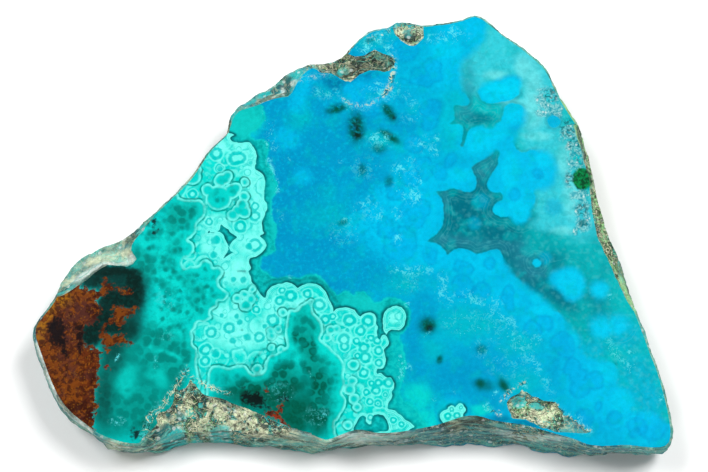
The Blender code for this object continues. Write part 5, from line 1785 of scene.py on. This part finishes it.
    def mint(self, wiring: Wiring, depth: object, uneven: object) -> Socket:
        """The mint with its bright rim, its parallel bands and its eyes.

        Args:
            wiring: the material's wiring.
            depth: how deep the surface lies in the mint.
            uneven: fine noise, from about -0.5 to 0.5.

        Returns:
            The mint's colour.
        """
        mottle = wiring.clouds(0.46, 0.66, 0.8, 4.0)
        colour = wiring.lay(wiring.tint("mint_tint"), Tint.PALE_MINT, 0.35, mottle)
        colour = self.eyed(wiring, self.scalloped(wiring, colour))
        colour = wiring.lay(colour, Tint.DEEP_MINT, 0.5, wiring.clouds(0.52, 0.7, 1.6, 3.0))
        colour = wiring.lay(colour, Tint.PALE_MINT, 0.75, wiring.hump(depth, -0.05, 0.05, 0.3, 0.65))
        wave = wiring.maths("COSINE", wiring.times(wiring.maths("SUBTRACT", depth, 0.08), 24.0))
        margin = wiring.times(wiring.hump(depth, 0.08, 0.12, 0.9, 1.2), wiring.field("banding"))
        colour = wiring.lay(colour, Tint.TEAL, 0.85, wiring.step(wave, -0.1, -0.9), margin)
        share = wiring.plus(wiring.field("eye_share"), wiring.times(uneven, 0.16))
        colour = wiring.lay(colour, Tint.PALE_MINT, 0.8, wiring.step(share, 0.5, 0.36))
        colour = wiring.lay(colour, Tint.TEAL, 0.85, wiring.hump(share, 0.4, 0.58, 0.8, 0.98))
        colour = wiring.lay(colour, Tint.PALE_MINT, 0.6, wiring.hump(share, 0.92, 1.06, 1.14, 1.3))
        core = wiring.field("core_share")
        colour = wiring.lay(colour, Tint.TEAL, 0.9, wiring.step(core, 1.1, 0.6))
        return wiring.lay(colour, Tint.PALE_MINT, 0.5, wiring.hump(core, 0.95, 1.1, 1.2, 1.5))

    def teal(self, wiring: Wiring, under: object, depth: object) -> Socket:
        """The teal zones and islands, each with a dark line outside its edge and a bright one inside.

        Args:
            wiring: the material's wiring.
            under: the mint's colour.
            depth: how deep the surface lies in the teal.

        Returns:
            The new colour.
        """
        outline = wiring.hump(depth, -0.44, -0.26, -0.1, 0.02)
        outside = wiring.lay(under, Tint.DARK_TEAL, 0.8, outline, self.loudness(wiring, 2.0, 0.15, 0.35))
        plain = wiring.field("rosetted")
        away, luck = self.cells(wiring, self.rosette_size, 0.6)
        inside = wiring.lay(wiring.tint("teal_tint"), Tint.MINT, 0.36, wiring.step(away, 0.34, 0.6), plain)
        dots = wiring.times(wiring.step(away, 0.42, 0.12), wiring.step(luck[0], 0.1, 0.9))
        inside = wiring.lay(inside, Tint.DARK_TEAL, 0.85, dots, plain)
        cloudy = wiring.plus(wiring.times(plain, 0.24), 0.07)
        inside = wiring.lay(inside, Tint.DARK_TEAL, 1.0, wiring.clouds(0.46, 0.66, 0.75, 5.0, 0.4), cloudy)
        patchy = wiring.step(wiring.noise(1.7, 3.0), 0.3, 0.6, 0.35, 0.85)
        inside = wiring.lay(inside, Tint.PALE_MINT, 1.0, wiring.step(depth, 0.6, 0.12), patchy)
        inside = wiring.lay(inside, Tint.BRIGHT_TEAL, 0.5, wiring.hump(depth, 0.3, 0.6, 0.9, 1.6))
        return wiring.mix(wiring.step(depth, -0.06, 0.06), outside, inside)

    def rust(self, wiring: Wiring, under: object) -> Socket:
        """The rust with its granules, and the black patches.

        Args:
            wiring: the material's wiring.
            under: the colour of the malachite.

        Returns:
            The new colour.
        """
        ragged = wiring.times(wiring.maths("SUBTRACT", wiring.noise(0.6, 6.0, 0.4), 0.5), 3.0)
        orange = wiring.clouds(0.5, 0.62, 1.2, 5.0, 0.8)
        colour = wiring.mix(orange, wiring.tint("rust_tint"), Tint.ORANGE)
        colour = wiring.lay(colour, Tint.MAROON, 0.75, wiring.clouds(0.47, 0.58, 0.9, 5.0, 0.7))
        colour = wiring.lay(colour, Tint.PLUM, 0.5, wiring.clouds(0.5, 0.66, 2.2, 5.0, 0.6))
        colour = wiring.lay(colour, Tint.GOLD, 0.22, self.effects.speck_mask(wiring, 0.36, 0.3))
        depth = wiring.plus(wiring.field("rust_depth"), ragged)
        colour = wiring.mix(wiring.step(depth, -0.25, 0.35), under, colour)
        black = wiring.plus(wiring.field("black_depth"), ragged)
        return wiring.lay(colour, Tint.BLACK, 0.92, wiring.step(black, -0.5, 0.5))

    def sugared(self, wiring: Wiring, under: object) -> Socket:
        """The pale crystals in the face, as lacy clumps and single specks.

        Args:
            wiring: the material's wiring.
            under: the colour without crystals.

        Returns:
            The new colour.
        """
        plenty = wiring.field("sugar")
        grains = wiring.clouds(0.54, 0.6, 0.6, 3.0, 1.0)
        lace = wiring.maths("MAXIMUM", wiring.thread(1.2, 0.045, 1.0), grains)
        clumps = wiring.times(wiring.clouds(0.46, 0.56, 1.6, 3.0, 0.8), plenty, lace, 0.8)
        specks = wiring.times(self.effects.speck_mask(wiring, 0.24, wiring.times(plenty, 0.26)), 0.42)
        return wiring.mix(wiring.maths("MAXIMUM", clumps, specks), under, Tint.FROST)

    def crusted(self, wiring: Wiring, under: object) -> Socket:
        """The threads of cream crust that run out of the pockets over the face.

        Args:
            wiring: the material's wiring.
            under: the colour without crust.

        Returns:
            The new colour.
        """
        crust = wiring.field("crust")
        gaps = wiring.clouds(0.49, 0.44, 1.0, 3.0, 1.2)
        colour = wiring.lay(under, Tint.BARK, 0.75, gaps, wiring.step(crust, 0.3, 0.8))
        patches = wiring.clouds(0.5, 0.55, 1.4, 4.0, 1.4)
        colour = wiring.lay(colour, Tint.LICHEN, 0.55, patches, wiring.step(crust, 0.5, 1.0))
        colour = wiring.lay(colour, Tint.FROST, 0.6, wiring.thread(0.9, 0.04, 1.4), crust)
        ridges = wiring.thread(1.5, 0.035, 1.2)
        return wiring.lay(colour, Tint.CREAM, 0.75, ridges, wiring.step(crust, 0.2, 0.8))

    def build(self) -> bpy.types.Material:
        """Makes the material."""
        material, wiring, shader = new_material(self.name)
        uneven = wiring.maths("SUBTRACT", wiring.noise(0.7, 3.0), 0.5)
        mint_depth = wiring.plus(wiring.field("mint_depth"), wiring.times(uneven, 0.12))
        teal_depth = wiring.plus(wiring.field("teal_depth"), wiring.times(uneven, 0.1))
        outside = self.green_band(wiring, self.blue_side(wiring, uneven), uneven, mint_depth)
        inside = self.teal(wiring, self.mint(wiring, mint_depth, uneven), teal_depth)
        colour = wiring.mix(wiring.step(mint_depth, -0.1, 0.03), outside, self.rust(wiring, inside))
        colour, relief = self.effects.grained(wiring, colour, 0.7, 0.5)
        colour = self.crusted(wiring, self.sugared(wiring, colour))
        wiring.feed(shader.inputs["Base Color"], self.effects.blobbed(wiring, colour))
        wiring.feed(shader.inputs["Roughness"], wiring.plus(wiring.times(relief, 0.06), self.roughness))
        shader.inputs["Specular IOR Level"].default_value = self.gloss
        wiring.bump(shader, relief, 0.05, self.relief_height)
        return material


@dataclass(frozen=True)
class SkinFinish:
    """The rough skin: layered rock threaded with cream crust."""

    effects: Effects
    name: str = "crusted_skin"
    roughness: float = 0.78
    layer_squash: tuple = (0.25, 0.25, 1.2)
    line_squash: tuple = (0.1, 0.1, 1.4)
    relief_height: float = 0.0006

    def layered(self, wiring: Wiring, bare: object) -> Socket:
        """The bare rock, with dark and pale layers and thin lines along them."""
        strata = wiring.noise(1.9, 4.0, 0.5, self.layer_squash)
        lines = wiring.thread(2.2, 0.035, 0.3, self.line_squash)
        colour = wiring.lay(wiring.tint("skin_tint"), Tint.UMBER, 0.8, wiring.step(strata, 0.48, 0.4), bare)
        colour = wiring.lay(colour, Tint.PALE_ROCK, 0.5, wiring.step(strata, 0.54, 0.62), bare)
        return wiring.lay(colour, Tint.PALE_ROCK, 0.6, lines, bare)

    def build(self) -> bpy.types.Material:
        """Makes the material."""
        material, wiring, shader = new_material(self.name)
        worms = wiring.field("worms")
        solid = wiring.step(worms, 0.34, 0.6)
        crust = wiring.field("blotches")
        colour = self.layered(wiring, wiring.step(worms, 0.3, 1.0, 1.0, 0.4))
        colour = wiring.lay(colour, Tint.TURQUOISE, 0.75, wiring.clouds(0.5, 0.56, 3.2, 2.0, 0.6), crust)
        colour = wiring.lay(colour, Tint.CREAM, 0.85, wiring.clouds(0.5, 0.54, 2.4, 4.0, 1.2), crust)
        cracks = wiring.times(wiring.thread(1.6, 0.025, 1.4), wiring.step(worms, 0.4, 1.0))
        gaps = wiring.maths("MAXIMUM", cracks, wiring.clouds(0.46, 0.41, 2.4, 3.0, 1.2))
        gaps = wiring.times(gaps, 0.8, solid)
        colour = wiring.mix(gaps, colour, Tint.BARK)
        colour = wiring.lay(colour, Tint.LIME, 0.6, wiring.thread(1.2, 0.032, 1.4), worms)
        ridges = wiring.times(wiring.thread(1.9, 0.042, 1.2), worms)
        colour = wiring.lay(colour, Tint.CREAM, 0.95, ridges)
        colour = wiring.lay(colour, Tint.WHITE, 0.5, self.effects.speck_mask(wiring, 0.9, 0.14))
        colour = wiring.lay(colour, Tint.BARK, 0.75, self.effects.speck_mask(wiring, 0.8, 0.16), solid)
        colour, relief = self.effects.grained(wiring, self.effects.blobbed(wiring, colour), 1.5, 1.5)
        wiring.feed(shader.inputs["Base Color"], colour)
        shader.inputs["Roughness"].default_value = self.roughness
        height = wiring.maths("SUBTRACT", wiring.plus(relief, wiring.times(ridges, 0.5)), gaps)
        wiring.bump(shader, height, 1.0, self.relief_height)
        return material


@dataclass(frozen=True)
class SawnFinish:
    """The sawn back: the stone's own zones, matt and dusty, with faint saw marks."""

    effects: Effects
    name: str = "sawn_back"
    roughness: float = 0.62
    wave_size: float = 9.6
    relief_height: float = 0.0001

    def build(self) -> bpy.types.Material:
        """Makes the material."""
        material, wiring, shader = new_material(self.name)
        dust = wiring.step(wiring.noise(6.0, 4.0), 0.3, 0.8, 0.2, 0.5)
        colour = wiring.mix(dust, wiring.tint("skin_tint"), Tint.GREY)
        inputs = {"Vector": wiring.places(self.wave_size), "Scale": 1.0, "Distortion": 1.2, "Detail": 2.0}
        marks = wiring.add("ShaderNodeTexWave", inputs, wave_type="BANDS", bands_direction="X").outputs["Fac"]
        colour = wiring.lay(colour, Tint.WHITE, 0.15, wiring.step(marks, 0.7, 1.0))
        colour, relief = self.effects.grained(wiring, colour, 1.2, 0.7)
        wiring.feed(shader.inputs["Base Color"], colour)
        shader.inputs["Roughness"].default_value = self.roughness
        wiring.bump(shader, wiring.plus(wiring.times(relief, 0.5), marks), 0.3, self.relief_height)
        return material


@dataclass(frozen=True)
class Lamp:
    """A soft rectangular light, aimed at the middle of the stone."""

    name: str
    azimuth: float
    elevation: float
    distance: float
    width: float
    power: float

    def build(self) -> None:
        """Places the light."""
        light = bpy.data.lights.new(self.name, "AREA")
        light.shape = "SQUARE"
        light.size = self.width
        light.energy = self.power
        item = bpy.data.objects.new(self.name, light)
        bpy.context.scene.collection.objects.link(item)
        turn, lift = math.radians(self.azimuth), math.radians(self.elevation)
        away = Vector((math.sin(turn) * math.cos(lift), -math.cos(turn) * math.cos(lift), math.sin(lift)))
        item.location = away * self.distance
        item.rotation_euler = away.to_track_quat("Z", "Y").to_euler()


@dataclass
class Studio:
    """A white table, soft lights and a camera that looks down on the stone, steeply, from its near side."""

    plan: StonePlan
    floor_size: float = 3.0
    aim_x: float = 58.0
    aim_y: float = 39.39
    camera_elevation: float = 75.0
    camera_distance: float = 0.35758
    lens: float = 100.0
    sensor: float = 36.0
    floor_drop: float = 0.0002
    floor_shade: float = 0.92
    floor_roughness: float = 0.9
    sky_strength: float = 0.2
    lamps: tuple = (
        Lamp("right_softbox", 122.0, 60.0, 1.1, 0.42, 9.6),
        Lamp("left_softbox", -120.0, 61.0, 1.1, 0.42, 6.6),
        Lamp("near_softbox", -26.0, 22.0, 1.1, 0.3, 2.4),
    )

    def floor(self) -> None:
        """The table top."""
        bpy.ops.mesh.primitive_plane_add(size=self.floor_size, location=(0.0, 0.0, -self.floor_drop))
        table = bpy.context.object
        table.name = "table_top"
        material, _, shader = new_material("white_table")
        shader.inputs["Base Color"].default_value = (*[self.floor_shade] * 3, 1.0)
        shader.inputs["Roughness"].default_value = self.floor_roughness
        table.data.materials.append(material)

    def camera(self) -> None:
        """The camera, at the photograph's angle."""
        target = self.plan.row_of(self.aim_x, self.aim_y, self.plan.thickness)
        lift = math.radians(self.camera_elevation)
        away = Vector((0.0, -math.cos(lift), math.sin(lift)))
        view = bpy.data.cameras.new("camera")
        view.lens = self.lens
        view.sensor_width = self.sensor
        view.clip_start = 0.01
        item = bpy.data.objects.new("camera", view)
        item.location = target + away * self.camera_distance
        item.rotation_euler = away.to_track_quat("Z", "Y").to_euler()
        bpy.context.scene.collection.objects.link(item)
        bpy.context.scene.camera = item

    def build(self) -> None:
        """Sets the whole scene around the stone."""
        self.floor()
        self.camera()
        for lamp in self.lamps:
            lamp.build()
        world = bpy.data.worlds.new("studio")
        world.use_nodes = True
        sky = world.node_tree.nodes["Background"].inputs
        sky["Color"].default_value = (1.0, 1.0, 1.0, 1.0)
        sky["Strength"].default_value = self.sky_strength
        bpy.context.scene.world = world
        bpy.context.scene.view_settings.view_transform = "Standard"


def main() -> None:
    """Builds the stone and its studio."""
    logging.basicConfig(level=logging.INFO, format="%(name)s: %(message)s")
    plan = StonePlan()
    stone = SlabMesh(plan).build(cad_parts[plan.node])
    pattern = SlabPattern(plan, MintMass(), TealZones(), BlueField(), Veil(), RustTip(), CrustedSkin())
    pattern.lay_on(stone)
    LOG.info("%s: pattern laid", stone.name)
    effects = Effects(SpeckEffect().build(), GrainEffect().build(), BlobEffect().build())
    for finish in (PolishedFinish(effects), SkinFinish(effects), SawnFinish(effects)):
        stone.data.materials.append(finish.build())
        LOG.info("%s: %s", stone.name, finish.name)
    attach(stone, "root")
    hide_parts(plan.node)
    Studio(plan).build()


if __name__ == "__main__":
    main()
